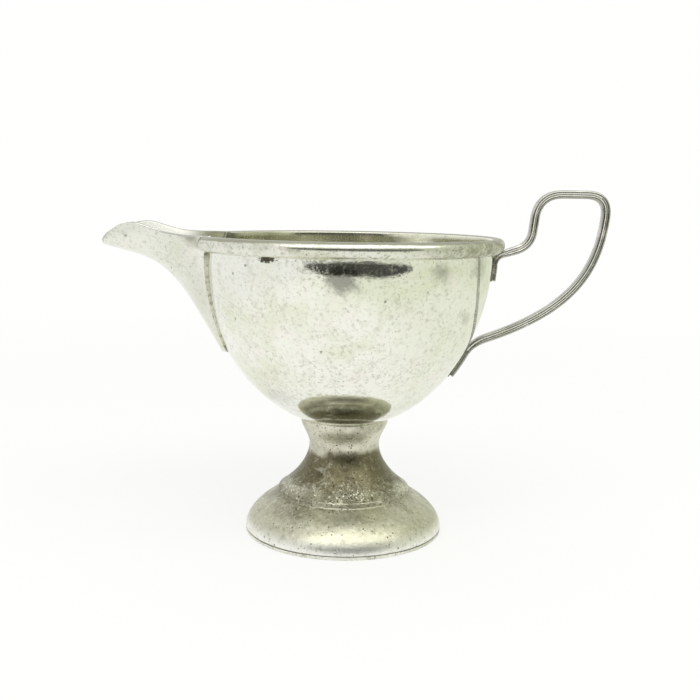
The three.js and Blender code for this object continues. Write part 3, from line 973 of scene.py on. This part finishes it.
# The wire's middle as (distance from the axis, height) points, from the upper tab to the lower
def handleLine(plan):
    loopTop = rimTop + plan["rise"] - plan["thick"] / 2
    loopOut = rimRadius + plan["depth"] - plan["thick"] / 2
    tabEnd = runHeight - plan["upperTab"]
    riserX = rimRadius + plan["riserStand"]
    riserFoot = runHeight + (riserX - tabX(runHeight)) * tan(radians(plan["runSlope"]))
    corners = [
        (tabX(tabEnd), tabEnd),
        (tabX(runHeight), runHeight),
        (riserX, riserFoot),
        (riserX + plan["riserLean"], loopTop),
        (loopOut, loopTop),
        (loopOut - plan["sweepLean"], loopTop - plan["outerBend"] - plan["sweepPull"]),
    ]
    corners = [Vector(corner) for corner in corners]
    sizes = [plan[key] for key in ("tabBend", "riserBend", "shoulderBend", "outerBend")]
    bend = steps(0, 1, plan["bendSteps"])
    line = tabLine(tabEnd, runHeight - plan["tabBend"], plan["upperTabSteps"])
    for last, corner, following, size in zip(corners, corners[1:], corners[2:], sizes):
        before = corner + (last - corner).normalized() * size
        after = corner + (following - corner).normalized() * size
        line += [quadratic(before, corner, after, t) for t in bend]
    slope = radians(plan["sweepEndSlope"])
    away = Vector((cos(slope), sin(slope)))
    foot = Vector((bowlRadiusAt(footHeight, plan["seat"] + plan["thick"] / 2), footHeight))
    heel = foot + away * plan["heelBend"]
    reach = heel + away * plan["sweepEndPull"]
    start = line[-1]
    line += [cubic(start, corners[-1], reach, heel, t) for t in steps(0, 1, plan["sweepSteps"])[1:]]
    tab = tabLine(footHeight - plan["heelDrop"], footHeight - plan["lowerTab"], plan["lowerTabSteps"])
    line += [quadratic(heel, foot, tab[0], t) for t in bend[1:]]
    return line + tab[1:]


# The wire's section as (across the thickness, y over the width), two lobes on each side
def wireSection(plan, thick, full):
    half, wide = thick / 2, plan["wide"] / 2
    power = plan["lobePower"]
    side = []
    for share in steps(-1, 1, 2 * plan["lobeSteps"]):
        place = 2 * abs(share) - 1  # from -1 in the groove to 1 at the wire's edge
        fall = 1 - (1 - min(1.0, abs(place) ** power)) ** (1 / power)
        depth = (plan["groove"] if place < 0 else plan["edge"]) * full
        side.append((share * half, wide - depth * fall))
    return side + [(-a, -y) for a, y in side]


def makeHandle(plan):
    line = handleLine(plan)
    at = evenly(line)
    length = sum((b - a).length for a, b in zip(line, line[1:]))
    ahead = 1 / plan["steps"]
    rings = []
    for share in steps(0, 1, plan["steps"]):
        point = at(share)
        direction = (at(share + ahead) - at(share - ahead)).normalized()
        fromUpper = share * length - plan["upperTab"]
        fromLower = (1 - share) * length - plan["lowerTab"]
        full = smooth(min(fromUpper, fromLower) / plan["tabRamp"])
        thick = lerp(plan["tabThick"], plan["thick"], full)
        section = wireSection(plan, thick, lerp(plan["tabGroove"], 1, full))
        rings.append([(point.x - a * direction.y, y, point.y + a * direction.x) for a, y in section])
    lobe = plan["lobeSteps"]
    side = 2 * lobe + 1

    # 1 for the side of the grooves painted in shade, 2 for their side painted with a highlight, and 3 for
    # the tabs' sides towards the bowl, painted in shade
    def indexOf(face):
        ring, place = divmod(face, 2 * side)
        along = ring / plan["steps"]
        inward = (place % side < lobe) == (place < side)
        if (along < plan["shadedUpper"] and not inward) or (along > 1 - plan["shadedLower"] and inward):
            return 3
        if place % side == side - 1:
            return 0
        off = abs(place % side + 0.5 - lobe)
        if inward == (along > plan["sidesSwap"]):
            return 2 if off < plan["grooveHighlightFaces"] else 0
        return 1 if off < plan["grooveShadeFaces"] else 0

    return *capped(rings), indexOf


handleLooks = [wirePlate, grooveShadePlate, grooveHighlightPlate, tabShadePlate]
makePiece("handle_wire", "handle", "silver_plate", handleLooks, *makeHandle(handlePlan))


# Pedestal: a spun shell with a dome, a step, a waist and a flared lip

pedestalPlan = dict(
    height=31.8,
    wall=0.9,
    lipRadius=12.25,
    lipFullness=0.29,
    lipSteps=16,
    waistRadius=9.8,
    waistDrop=7.2,
    waistFullness=0.74,
    flareFullness=0.36,
    stepRadius=18.4,
    stepHeight=12.4,
    stepBead=1.4,
    stepGroove=0.12,
    beadRound=0.65,
    beadStart=-20,  # degrees
    beadSteps=10,
    neckSlope=31.0,
    neckFullness=0.39,
    neckSteps=30,
    domeSlope=28.4,
    domeFullness=0.65,
    domeSteps=28,
    ringHeight=0.95,  # it stands on the foot ring
    ringGroove=0.2,  # its foot turns in by this much over the foot ring
    bury=0.1,  # its lip reaches this far into the bowl's wall
    columns=192,
)


def bendPairs(start, corner, end, startFullness, endFullness, count):
    start, corner, end = Vector(start), Vector(corner), Vector(end)
    first = start.lerp(corner, startFullness)
    second = end.lerp(corner, endFullness)
    return [tuple(cubic(start, first, second, end, t)) for t in steps(0, 1, count)]


def movedIn(pairs, distance):
    moved = []
    for i, (x, y) in enumerate(pairs):
        ahead = pairs[min(i + 1, len(pairs) - 1)]
        back = pairs[max(i - 1, 0)]
        dx, dy = ahead[0] - back[0], ahead[1] - back[1]
        length = hypot(dx, dy)
        moved.append((x - distance * dy / length, y + distance * dx / length))
    return moved


def makePedestal(plan):
    waistRadius, lipRadius, ringHeight = plan["waistRadius"], plan["lipRadius"], plan["ringHeight"]
    waistHeight = plan["height"] - plan["waistDrop"]
    domeTop = plan["stepHeight"] - plan["stepBead"]
    domeTopRadius = plan["stepRadius"] - plan["stepGroove"]
    domeRise = (footRadius - domeTopRadius) * tan(radians(plan["domeSlope"]))
    neckRise = (plan["stepRadius"] - waistRadius) * tan(radians(plan["neckSlope"]))
    full, groove = plan["domeFullness"], plan["ringGroove"]
    foot, shoulder = (footRadius, ringHeight + groove), (footRadius, domeTop - domeRise)
    dome = bendPairs(foot, shoulder, (domeTopRadius, domeTop), full, full, plan["domeSteps"])

    # the bead at the step runs into the neck without an edge
    bead, lean = plan["beadRound"], 90 - plan["neckSlope"]
    beadX = plan["stepRadius"] - bead
    beadZ = plan["stepHeight"] - bead * sin(radians(lean))
    step = arcPairs(beadX, beadZ, bead, bead, plan["beadStart"], lean, plan["beadSteps"])
    corner, waist = (waistRadius, plan["stepHeight"] + neckRise), (waistRadius, waistHeight)
    fullness = plan["neckFullness"], plan["waistFullness"]
    neck = bendPairs(step[-1], corner, waist, *fullness, plan["neckSteps"])
    waist, top = Vector(waist), Vector((lipRadius, plan["height"]))
    leave = waist + Vector((0, plan["waistDrop"] * plan["flareFullness"]))
    reach = top - Vector((0, plan["waistDrop"] * plan["lipFullness"]))
    lip = [tuple(cubic(waist, leave, reach, top, t)) for t in steps(0, 1, plan["lipSteps"])[1:]]
    inner = movedIn(dome + neck + lip, plan["wall"])[1:-1][::-1]
    innerLip = lipRadius - plan["wall"]
    profile = [(footRadius - 2 * groove, ringHeight), (footRadius - groove, ringHeight + groove / 3)]
    profile += dome + step[:-1] + neck + lip
    profile += [(radius, bowlHeightAt(radius) + plan["bury"]) for radius in (lipRadius, innerLip)]
    profile += inner + [(footRadius - plan["wall"], ringHeight)]
    return turned(profile, plan["columns"])


# Heights here are over the step, but for the three that are over the table.
# A zone is given as (start, full, fading, end).
tarnishPlan = dict(
    neck=(0.70, 0.68, 0.56),
    dome=(0.54, 0.53, 0.41),
    foot=(0.94, 0.94, 0.88),
    olive=(0.135, 0.119, 0.062),
    dark=(0.072, 0.062, 0.031),
    cream=(0.93, 0.91, 0.76),
    neckHeights=(-4, 12.2),
    footHeights=(5.5, 1.5),  # over the table
    ragged=(6, 5, 0.7, 9),
    flare=(-1, 3, 9.7, 12.7),  # the brown tarnish over the step
    flareShare=0.95,
    shoulder=(-6.4, -2.4, 0, 3),  # and the tarnish under it, more of it at the left
    shoulderLeft=(-4, -16),
    shoulderShares=(0.25, 1.25),
    clouds=(9, 5, 0.62, 0.46, 0.66, 1.0, 0.4),
    cloudHeights=(-7.4, -3.4),
    cloudLeast=0.25,
    cloudShare=0.33,
    deep=(5, 5, 0.65, 0.48, 0.66, 0.8),
    dust=(1.1, 4, 0.75, 0.5, 0.72, 0.45),
    dustFlare=(1.6, 0.2),  # less of it on the flare
    worn=(5.5, 5, 0.7, 0.55, 0.68, 0.4, 0.5),
    grimy=(1.5, 5, 0.78, 0.5, 0.68, 0.36),
    crustBand=(-3.4, -1, 1, 6),
    crustFront=(4, -14),
    crustLeast=0.2,
    crustPatches=(4, 5, 0.75, 0.4, 0.6),
    crustShade=0.35,
    sootRagged=(0.6, 0.3),
    soot=(0.6, 0.5, 0.7),
    crustRagged=(0.5, 0.3),
    crust=(0.55, 0.5, 0.62),
    pitRagged=(0.6, 0.2),
    pits=(0.8, 0.3, 0.55),
    pitShare=0.75,
    ringLine=(1.4, 1.1),  # the dark line over the foot ring, over the table
    ringLineShare=0.5,
    corner=(-2.6, -1.5, -1.1, -0.4),  # grime under the bead and on it
    cornerShare=0.3,
    bead=(-1.4, -0.9, 0.2, 1.0),
    beadPatches=(5, 4, 0.7, 0.44, 0.56, 0.35),
    roughClean=0.27,
    roughTarnished=0.37,
    roughFoot=(10, 7),  # over the table
    roughFootMore=0.09,
    roughGrime=0.3,
    roughCrust=0.25,
    turnStretch=(0.02, 1, 1),
    turnLines=(0.3, 3, 0.7, 0.002),  # from spinning
    lumps=(1.4, 5, 0.7, 0.05),
    fineLumps=(0.6, 3, 0.6, 0.02),
    crustDepth=0.08,
)


# The foot: brown tarnish on the flare over the step, worn off elsewhere, with crust about the step
def makeTarnished(name, plan):
    material, tree = newMaterial(name)
    at = jugPlaces(tree)
    over = minus(at.up, pedestalPlan["stepHeight"])
    raggedOver = plus(over, wander(at.where, *plan["ragged"]))
    colour = tinted(plan["dome"], plan["neck"], between(over, *plan["neckHeights"]))
    colour = tinted(colour, plan["foot"], between(at.up, *plan["footHeights"]))
    flare = zone(raggedOver, *plan["flare"])
    left = ranged(between(at.x, *plan["shoulderLeft"]), *plan["shoulderShares"])
    shoulder = times(zone(raggedOver, *plan["shoulder"]), left)
    upper = ranged(between(over, *plan["cloudHeights"]), plan["cloudLeast"], 1.0)
    cloudy = plus(times(patches(at.where, *plan["clouds"]), upper), shoulder)
    amount = highest(times(flare, plan["flareShare"]), times(cloudy, plan["cloudShare"]))
    colour = tinted(colour, plan["olive"], amount)
    colour = tinted(colour, plan["dark"], patches(at.where, *plan["deep"]), flare)
    dust = times(patches(at.where, *plan["dust"]), between(flare, *plan["dustFlare"]))
    colour = tinted(colour, plan["cream"], dust)
    colour = tinted(colour, plan["neck"], patches(at.where, *plan["worn"]), flare)
    colour = tinted(colour, plan["dark"], patches(at.where, *plan["grimy"]))

    # crust in small grains round the step, most of it at the front
    front = ranged(between(at.y, *plan["crustFront"]), plan["crustLeast"], 1.0)
    crusted = times(zone(over, *plan["crustBand"]), patches(at.where, *plan["crustPatches"]), front)
    soot = specks(distorted(at.where, *plan["sootRagged"]), *plan["soot"])
    crust = times(specks(distorted(at.where, *plan["crustRagged"]), *plan["crust"]), crusted)
    colour = tinted(colour, plan["dome"], crusted, plan["crustShade"])
    colour = tinted(colour, plan["dark"], soot, crusted)
    colour = tinted(colour, plan["cream"], crust)

    # specks, the dark line over the foot ring, and grime at the bead
    pit = specks(distorted(at.where, *plan["pitRagged"]), *plan["pits"])
    colour = tinted(colour, plan["dark"], pit, plan["pitShare"])
    colour = tinted(colour, plan["dark"], between(at.up, *plan["ringLine"]), plan["ringLineShare"])
    bead = times(zone(over, *plan["bead"]), patches(at.where, *plan["beadPatches"]))
    grime = highest(times(zone(over, *plan["corner"]), plan["cornerShare"]), bead)
    colour = tinted(colour, plan["olive"], grime)
    roughness = plus(
        ranged(amount, plan["roughClean"], plan["roughTarnished"]),
        times(between(at.up, *plan["roughFoot"]), plan["roughFootMore"]),
        times(grime, plan["roughGrime"]),
        times(crust, plan["roughCrust"]),
    )
    normal = bumpy(
        lumps(stretched(at.around, plan["turnStretch"]), *plan["turnLines"]),
        lumps(at.where, *plan["lumps"]),
        lumps(at.where, *plan["fineLumps"]),
        (minus(crust, pit), plan["crustDepth"]),
    )
    finishMaterial(colour, roughness, normal)
    return material


tarnishedPlate = makeTarnished("tarnished_plate", tarnishPlan)
makePiece("pedestal_foot", "pedestal", "tarnished_plate", [tarnishedPlate], *makePedestal(pedestalPlan))


# Foot ring: flat wire under the foot

ringPlan = dict(
    width=2.2,
    bevel=0.3,
    bevelSteps=6,
    topRound=0.15,
    topSteps=4,
    innerBevel=0.1,
    columns=192,
)


def makeFootRing(plan):
    inside, top = footRadius - plan["width"], pedestalPlan["ringHeight"]
    bevel, small, innerBevel = plan["bevel"], plan["topRound"], plan["innerBevel"]
    profile = [(inside + innerBevel, 0.0), (footRadius - bevel, 0.0)]
    profile += arcPairs(footRadius - bevel, bevel, bevel, bevel, -90, 0, plan["bevelSteps"])[1:]
    profile += arcPairs(footRadius - small, top - small, small, small, 0, 90, plan["topSteps"])
    profile += [(inside, top), (inside, innerBevel)]
    return turned(profile, plan["columns"])


makePiece("foot_band", "foot_ring", "silver_plate", [rimPlate], *makeFootRing(ringPlan))


# Solder: hollow fillets in the corners between the pieces

solderSizes = dict(
    seamTop=0.62,  # width of the fillet at the top of the spout's seam
    seamFoot=0.3,
    seamLean=-0.5,  # it reaches this share further along one side than along the other
    seamSteps=160,
    seamDark=3.2,  # the lowest part of the seam is dark over this height
    tab=0.7,
    tabRise=3.0,
    tabLeast=0.15,  # share of its width that is left at its upper ends
    tabSteps=10,  # up each side, round each corner and along the foot
    tabCornerSteps=8,
    tabFootSteps=6,
    neck=1.6,
    neckBury=0.1,
    neckSteps=8,
    neckColumns=96,
    hollow=0.36,
    faceSteps=6,
    bury=0.15,  # the fillets reach this far into what they join
    uneven=0.14,  # share by which the seam's width wanders
    unevenScale=0.6,  # waves of it in a millimetre
    unevenMiddle=0.1,  # the noise is at this level where the width is as given
)
seamPlan = dict(
    grey=(0.58, 0.58, 0.47),
    dark=(0.33, 0.325, 0.24),
    pale=(0.69, 0.69, 0.58),
    clouds=(3, 5, 0.65, 0.4, 0.7),
    grime=(1.2, 4, 0.7, 0.46, 0.66),
    grimeShare=0.8,
    underRim=(-7.5, -4.5),  # darker from here up, from the top of the rim
    roughLow=0.28,
    roughHigh=0.48,
    lumps=(0.7, 4, 0.65, 0.05),
)
solderPlan = dict(seamPlan, grey=(0.22, 0.22, 0.17), dark=(0.07, 0.065, 0.04), pale=(0.34, 0.34, 0.28))


def makeSolder(name, plan):
    material, tree = newMaterial(name)
    at = jugPlaces(tree)
    colour = tinted(plan["grey"], plan["pale"], patches(at.where, *plan["clouds"]))
    underRim = between(minus(at.up, rimTop), *plan["underRim"])
    grime = highest(patches(at.where, *plan["grime"]), underRim)
    colour = tinted(colour, plan["dark"], grime, plan["grimeShare"])
    roughness = ranged(grime, plan["roughLow"], plan["roughHigh"])
    finishMaterial(colour, roughness, bumpy(lumps(at.where, *plan["lumps"])))
    return material


def filletRing(point, first, second, width, lean=0.0):
    hollow, bury = solderSizes["hollow"], solderSizes["bury"]
    long, short = width * (1 + lean), width * (1 - lean)
    corner = point - first * bury - second * bury
    start = point + first * long - second * bury
    end = point + second * short - first * bury
    middle = point + (first * long + second * short) * hollow
    a, b = point + first * long, point + second * short
    control = 2 * middle - (a + b) / 2
    face = [quadratic(a, control, b, t) for t in steps(0, 1, solderSizes["faceSteps"])]
    return [corner, start, *face, end]


def flattened(direction, normal):
    return (direction - normal * direction.dot(normal)).normalized()


def makeSeamSolder(plan):
    mouldingFoot = rimTop - mouldingPlan["height"]
    rings = []
    for across in steps(-1, 1, plan["seamSteps"]):
        out = seamPlace(across)
        point = spoutPoint(out, across)
        if point.z > mouldingFoot:
            continue
        wall, trough = bowlNormal(point), spoutNormal(out, across)
        share = (point.z - keelFootHeight) / (mouldingFoot - keelFootHeight)
        width = lerp(plan["seamFoot"], plan["seamTop"], clamp(share) ** 2)
        width *= 1 + plan["uneven"] * (noise.noise(point * plan["unevenScale"]) - plan["unevenMiddle"])
        first, second = flattened(trough, wall), flattened(wall, trough)
        rings.append(filletRing(point, first, second, width, plan["seamLean"]))
    heights = [ring[0].z for ring in rings]

    # 1 for the dark foot of the seam
    def indexOf(face):
        ring = min(face // len(rings[0]), len(rings) - 1)
        return 1 if heights[ring] < keelFootHeight + plan["seamDark"] else 0

    return *capped(rings), indexOf


# Round a tab's sides and its lower end
def makeTabSolder(plan, endHeight):
    half = handlePlan["wide"] / 2
    rise = plan["tabRise"]
    lifts = steps(0, rise, plan["tabSteps"])[1:]
    corner = steps(0, 90, plan["tabCornerSteps"])
    places = [(endHeight + lift, -half, 180) for lift in reversed(lifts)]
    places += [(endHeight, -half, 180 + turn) for turn in corner]
    places += [(endHeight, y, 270) for y in steps(-half, half, plan["tabFootSteps"])[1:-1]]
    places += [(endHeight, half, 270 + turn) for turn in corner]
    places += [(endHeight + lift, half, 360) for lift in lifts]
    rings = []
    for height, y, turn in places:
        point = Vector((sqrt(bowlRadiusAt(height) ** 2 - y * y), y, height))
        first = bowlNormal(point)
        away = flattened(Vector((0, cos(radians(turn)), sin(radians(turn)))), first)
        fade = sqrt(clamp((endHeight + rise - height) / rise))
        rings.append(filletRing(point, first, away, plan["tab"] * lerp(plan["tabLeast"], 1, fade)))
    return capped(rings)


def makeNeckSolder(plan):
    outside = pedestalPlan["lipRadius"] - pedestalPlan["wall"]
    width, bury = plan["neck"], plan["neckBury"]
    height = bowlHeightAt(outside)
    inner = (outside - width, bowlHeightAt(outside - width))
    low = (outside, height - width)
    hollow = plan["hollow"] * width
    control = Vector((outside - hollow, height - hollow)) * 2 - (Vector(inner) + Vector(low)) / 2
    profile = [tuple(quadratic(inner, control, low, t)) for t in steps(0, 1, plan["neckSteps"])]
    profile += [(outside + bury, low[1]), (outside + bury, height + bury), (inner[0], inner[1] + bury)]
    return turned(profile, plan["neckColumns"])


seamLooks = [makeSolder("solder_seam", seamPlan), makeSolder("solder", solderPlan)]
dullLook = seamLooks[1:]
upperEnd = runHeight - handlePlan["upperTab"]
lowerEnd = footHeight - handlePlan["lowerTab"]
for name, node, looks, shape in (
    ("spout_seam", "spout_solder", seamLooks, makeSeamSolder(solderSizes)),
    ("handle_upper_fillet", "handle_upper_solder", dullLook, makeTabSolder(solderSizes, upperEnd)),
    ("handle_lower_fillet", "handle_lower_solder", dullLook, makeTabSolder(solderSizes, lowerEnd)),
    ("pedestal_fillet", "pedestal_solder", dullLook, makeNeckSolder(solderSizes)),
):
    makePiece(name, node, "solder", looks, *shape)


# Stage: floor, background, softbox and dark bands

stagePlan = dict(
    floorSize=6.0,
    floorColour=(0.92, 0.93, 0.91),
    floorGlow=0.72,  # share of plain white that the camera and the metal see near the jug
    glowDistances=(0.12, 0.6),  # it rises to all of it between these distances
    worldLevel=0.88,
    white=(1.0, 1.0, 0.99),
    shadeRight=(0.80, 0.83, 0.71),  # what the metal sees on the right
    shadeLeft=(0.90, 0.905, 0.89),  # and on the left
    floorRight=(-0.01, 0.13),  # where these begin and are full on the floor, in metres
    floorLeft=(-0.10, -0.24),
    worldRight=(0.0, 0.8),  # and in the background, as shares of a direction
    worldLeft=(-0.3, -0.9),
)


def lightRays(tree):
    path = addNode("LightPath", {}, tree).outputs
    seen = highest(path["Is Camera Ray"], path["Is Glossy Ray"], path["Is Transmission Ray"])
    return seen, path["Is Camera Ray"]


# White for the camera; the metal sees a greenish shade on the right and a greyish one on the left
def stageColour(plan, sideways, right, left, cameraRay):
    unseen = minus(1.0, cameraRay)
    colour = tinted(plan["white"], plan["shadeRight"], between(sideways, *right), unseen)
    return tinted(colour, plan["shadeLeft"], between(sideways, *left), unseen)


def makeWorld(plan):
    world = bpy.data.worlds.new("studio")
    bpy.context.scene.world = world
    world.use_nodes = True
    tree = world.node_tree
    tree.nodes.clear()
    lit, cameraRay = lightRays(tree)
    direction = addNode("TexCoord", {}, tree).outputs["Generated"]
    sideways = addNode("SeparateXYZ", dict(Vector=direction)).outputs[0]
    colour = stageColour(plan, sideways, plan["worldRight"], plan["worldLeft"], cameraRay)
    level = ranged(lit, plan["worldLevel"], 1.0)
    back = addNode("Background", dict(Color=colour, Strength=level))
    addNode("OutputWorld", dict(Surface=back.outputs[0]))


def makeSheet(name, points, faces, material, seenByCamera=True):
    mesh = bpy.data.meshes.new(name)
    mesh.from_pydata(points, [], faces)
    mesh.materials.append(material)
    sheet = bpy.data.objects.new(name, mesh)
    bpy.context.collection.objects.link(sheet)
    sheet.visible_camera = seenByCamera
    return sheet


def makeFloor(plan):
    material, tree = newMaterial("floor_paper")
    lit, cameraRay = lightRays(tree)
    where = addNode("TexCoord", {}, tree).outputs["Object"]
    away = addNode("VectorMath", {0: where}, operation="LENGTH").outputs["Value"]
    share = times(ranged(between(away, *plan["glowDistances"]), plan["floorGlow"], 1.0), lit)
    sideways = addNode("SeparateXYZ", dict(Vector=where)).outputs[0]
    colour = stageColour(plan, sideways, plan["floorRight"], plan["floorLeft"], cameraRay)
    plain = addNode("BsdfDiffuse", dict(Color=plan["floorColour"]), tree)
    glow = addNode("Emission", dict(Color=colour))
    mixed = addNode("MixShader", {0: share, 1: plain.outputs[0], 2: glow.outputs[0]})
    addNode("OutputMaterial", dict(Surface=mixed.outputs[0]))
    half = plan["floorSize"] / 2
    corners = [(-half, -half, 0), (half, -half, 0), (half, half, 0), (-half, half, 0)]
    makeSheet("floor", corners, [(0, 1, 2, 3)], material)


def glowMaterial(name, colour):
    material, tree = newMaterial(name)
    glow = addNode("Emission", dict(Color=colour), tree)
    addNode("OutputMaterial", dict(Surface=glow.outputs[0]))
    return material


# Dark bands behind the camera that only the metal sees, on a wall bent round the bowl.
# Heights are in degrees over the middle of the bowl's front, and so are places to the side.
wallPlan = dict(radius=0.3, centre=(0, -0.0397, 0.076), columns=24)
lowBand = dict(
    left=-34,
    right=53,
    low=-15.6,
    lowRise=5.8,  # its lower edge is this much higher at its ends
    high=-6.1,
    highDrop=2.0,  # and its upper edge this much lower
    colour=(0.06, 0.06, 0.055),
)
highBand = dict(
    left=-41,
    right=57,
    low=-4.0,
    lowRise=1.0,
    high=20.0,
    highDrop=4.0,
    colour=(0.08, 0.08, 0.075),
)


def makeBand(name, wall, plan):
    middle, half = (plan["left"] + plan["right"]) / 2, (plan["right"] - plan["left"]) / 2
    centre = Vector(wall["centre"]) + Vector((axisX / perMetre, 0, 0))
    points, faces = [], []
    for i, turn in enumerate(steps(plan["left"], plan["right"], wall["columns"])):
        bend = ((turn - middle) / half) ** 2
        for lift in (plan["low"] + plan["lowRise"] * bend, plan["high"] - plan["highDrop"] * bend):
            side = Vector((sin(radians(turn)), -cos(radians(turn)), tan(radians(lift))))
            points.append(centre + side * wall["radius"])
        if i:
            faces.append((2 * i - 2, 2 * i, 2 * i + 1, 2 * i - 1))
    band = makeSheet(name, points, faces, glowMaterial(name, plan["colour"]), seenByCamera=False)
    band.visible_diffuse = False
    band.visible_shadow = False


softboxPlan = dict(place=(0.1, -0.42, 0.75), size=(1.6, 0.40), glow=1.8, colour=(1.0, 1.0, 0.98))


def makeLamp(name, plan):
    data = bpy.data.lights.new(name, "AREA")
    data.shape = "RECTANGLE"
    data.size, data.size_y = plan["size"]
    data.energy = plan["glow"] * pi * data.size * data.size_y
    data.color = plan["colour"]
    lamp = bpy.data.objects.new(name, data)
    bpy.context.collection.objects.link(lamp)
    lamp.location = plan["place"]
    target = Vector((0, 0, rimTop / 2 / perMetre))
    lamp.rotation_euler = (Vector(plan["place"]) - target).to_track_quat("Z", "Y").to_euler()


makeWorld(stagePlan)
makeFloor(stagePlan)
makeBand("low_band", wallPlan, lowBand)
makeBand("high_band", wallPlan, highBand)
makeLamp("softbox", softboxPlan)
print("stage made")


# Camera: at the photograph's angle

cameraPlan = dict(
    place=(0.00124, -0.2641, 0.0924),  # from the jug's axis, in metres
    pitch=8.93,  # degrees down
    roll=0.9,
    focal=960 / 700,  # in picture widths
    sensor=36.0,
    near=0.01,
    reflections=8,  # how often light goes from metal to metal
)


def makeCamera(plan):
    data = bpy.data.cameras.new("camera")
    data.sensor_width = plan["sensor"]
    data.lens = plan["focal"] * plan["sensor"]
    data.clip_start = plan["near"]
    camera = bpy.data.objects.new("camera", data)
    bpy.context.collection.objects.link(camera)
    pitch, roll = radians(plan["pitch"]), radians(plan["roll"])
    ahead = Vector((0, cos(pitch), -sin(pitch)))
    level, above = Vector((1, 0, 0)), Vector((0, sin(pitch), cos(pitch)))
    right = level * cos(roll) + above * sin(roll)
    up = above * cos(roll) - level * sin(roll)
    turn = Matrix((right, up, -ahead)).transposed().to_4x4()
    place = Vector(plan["place"]) + Vector((axisX / perMetre, 0, 0))
    camera.matrix_world = Matrix.Translation(place) @ turn
    bpy.context.scene.camera = camera


makeCamera(cameraPlan)
bpy.context.scene.view_settings.view_transform = "Standard"
bpy.context.scene.cycles.glossy_bounces = cameraPlan["reflections"]
print("camera placed")
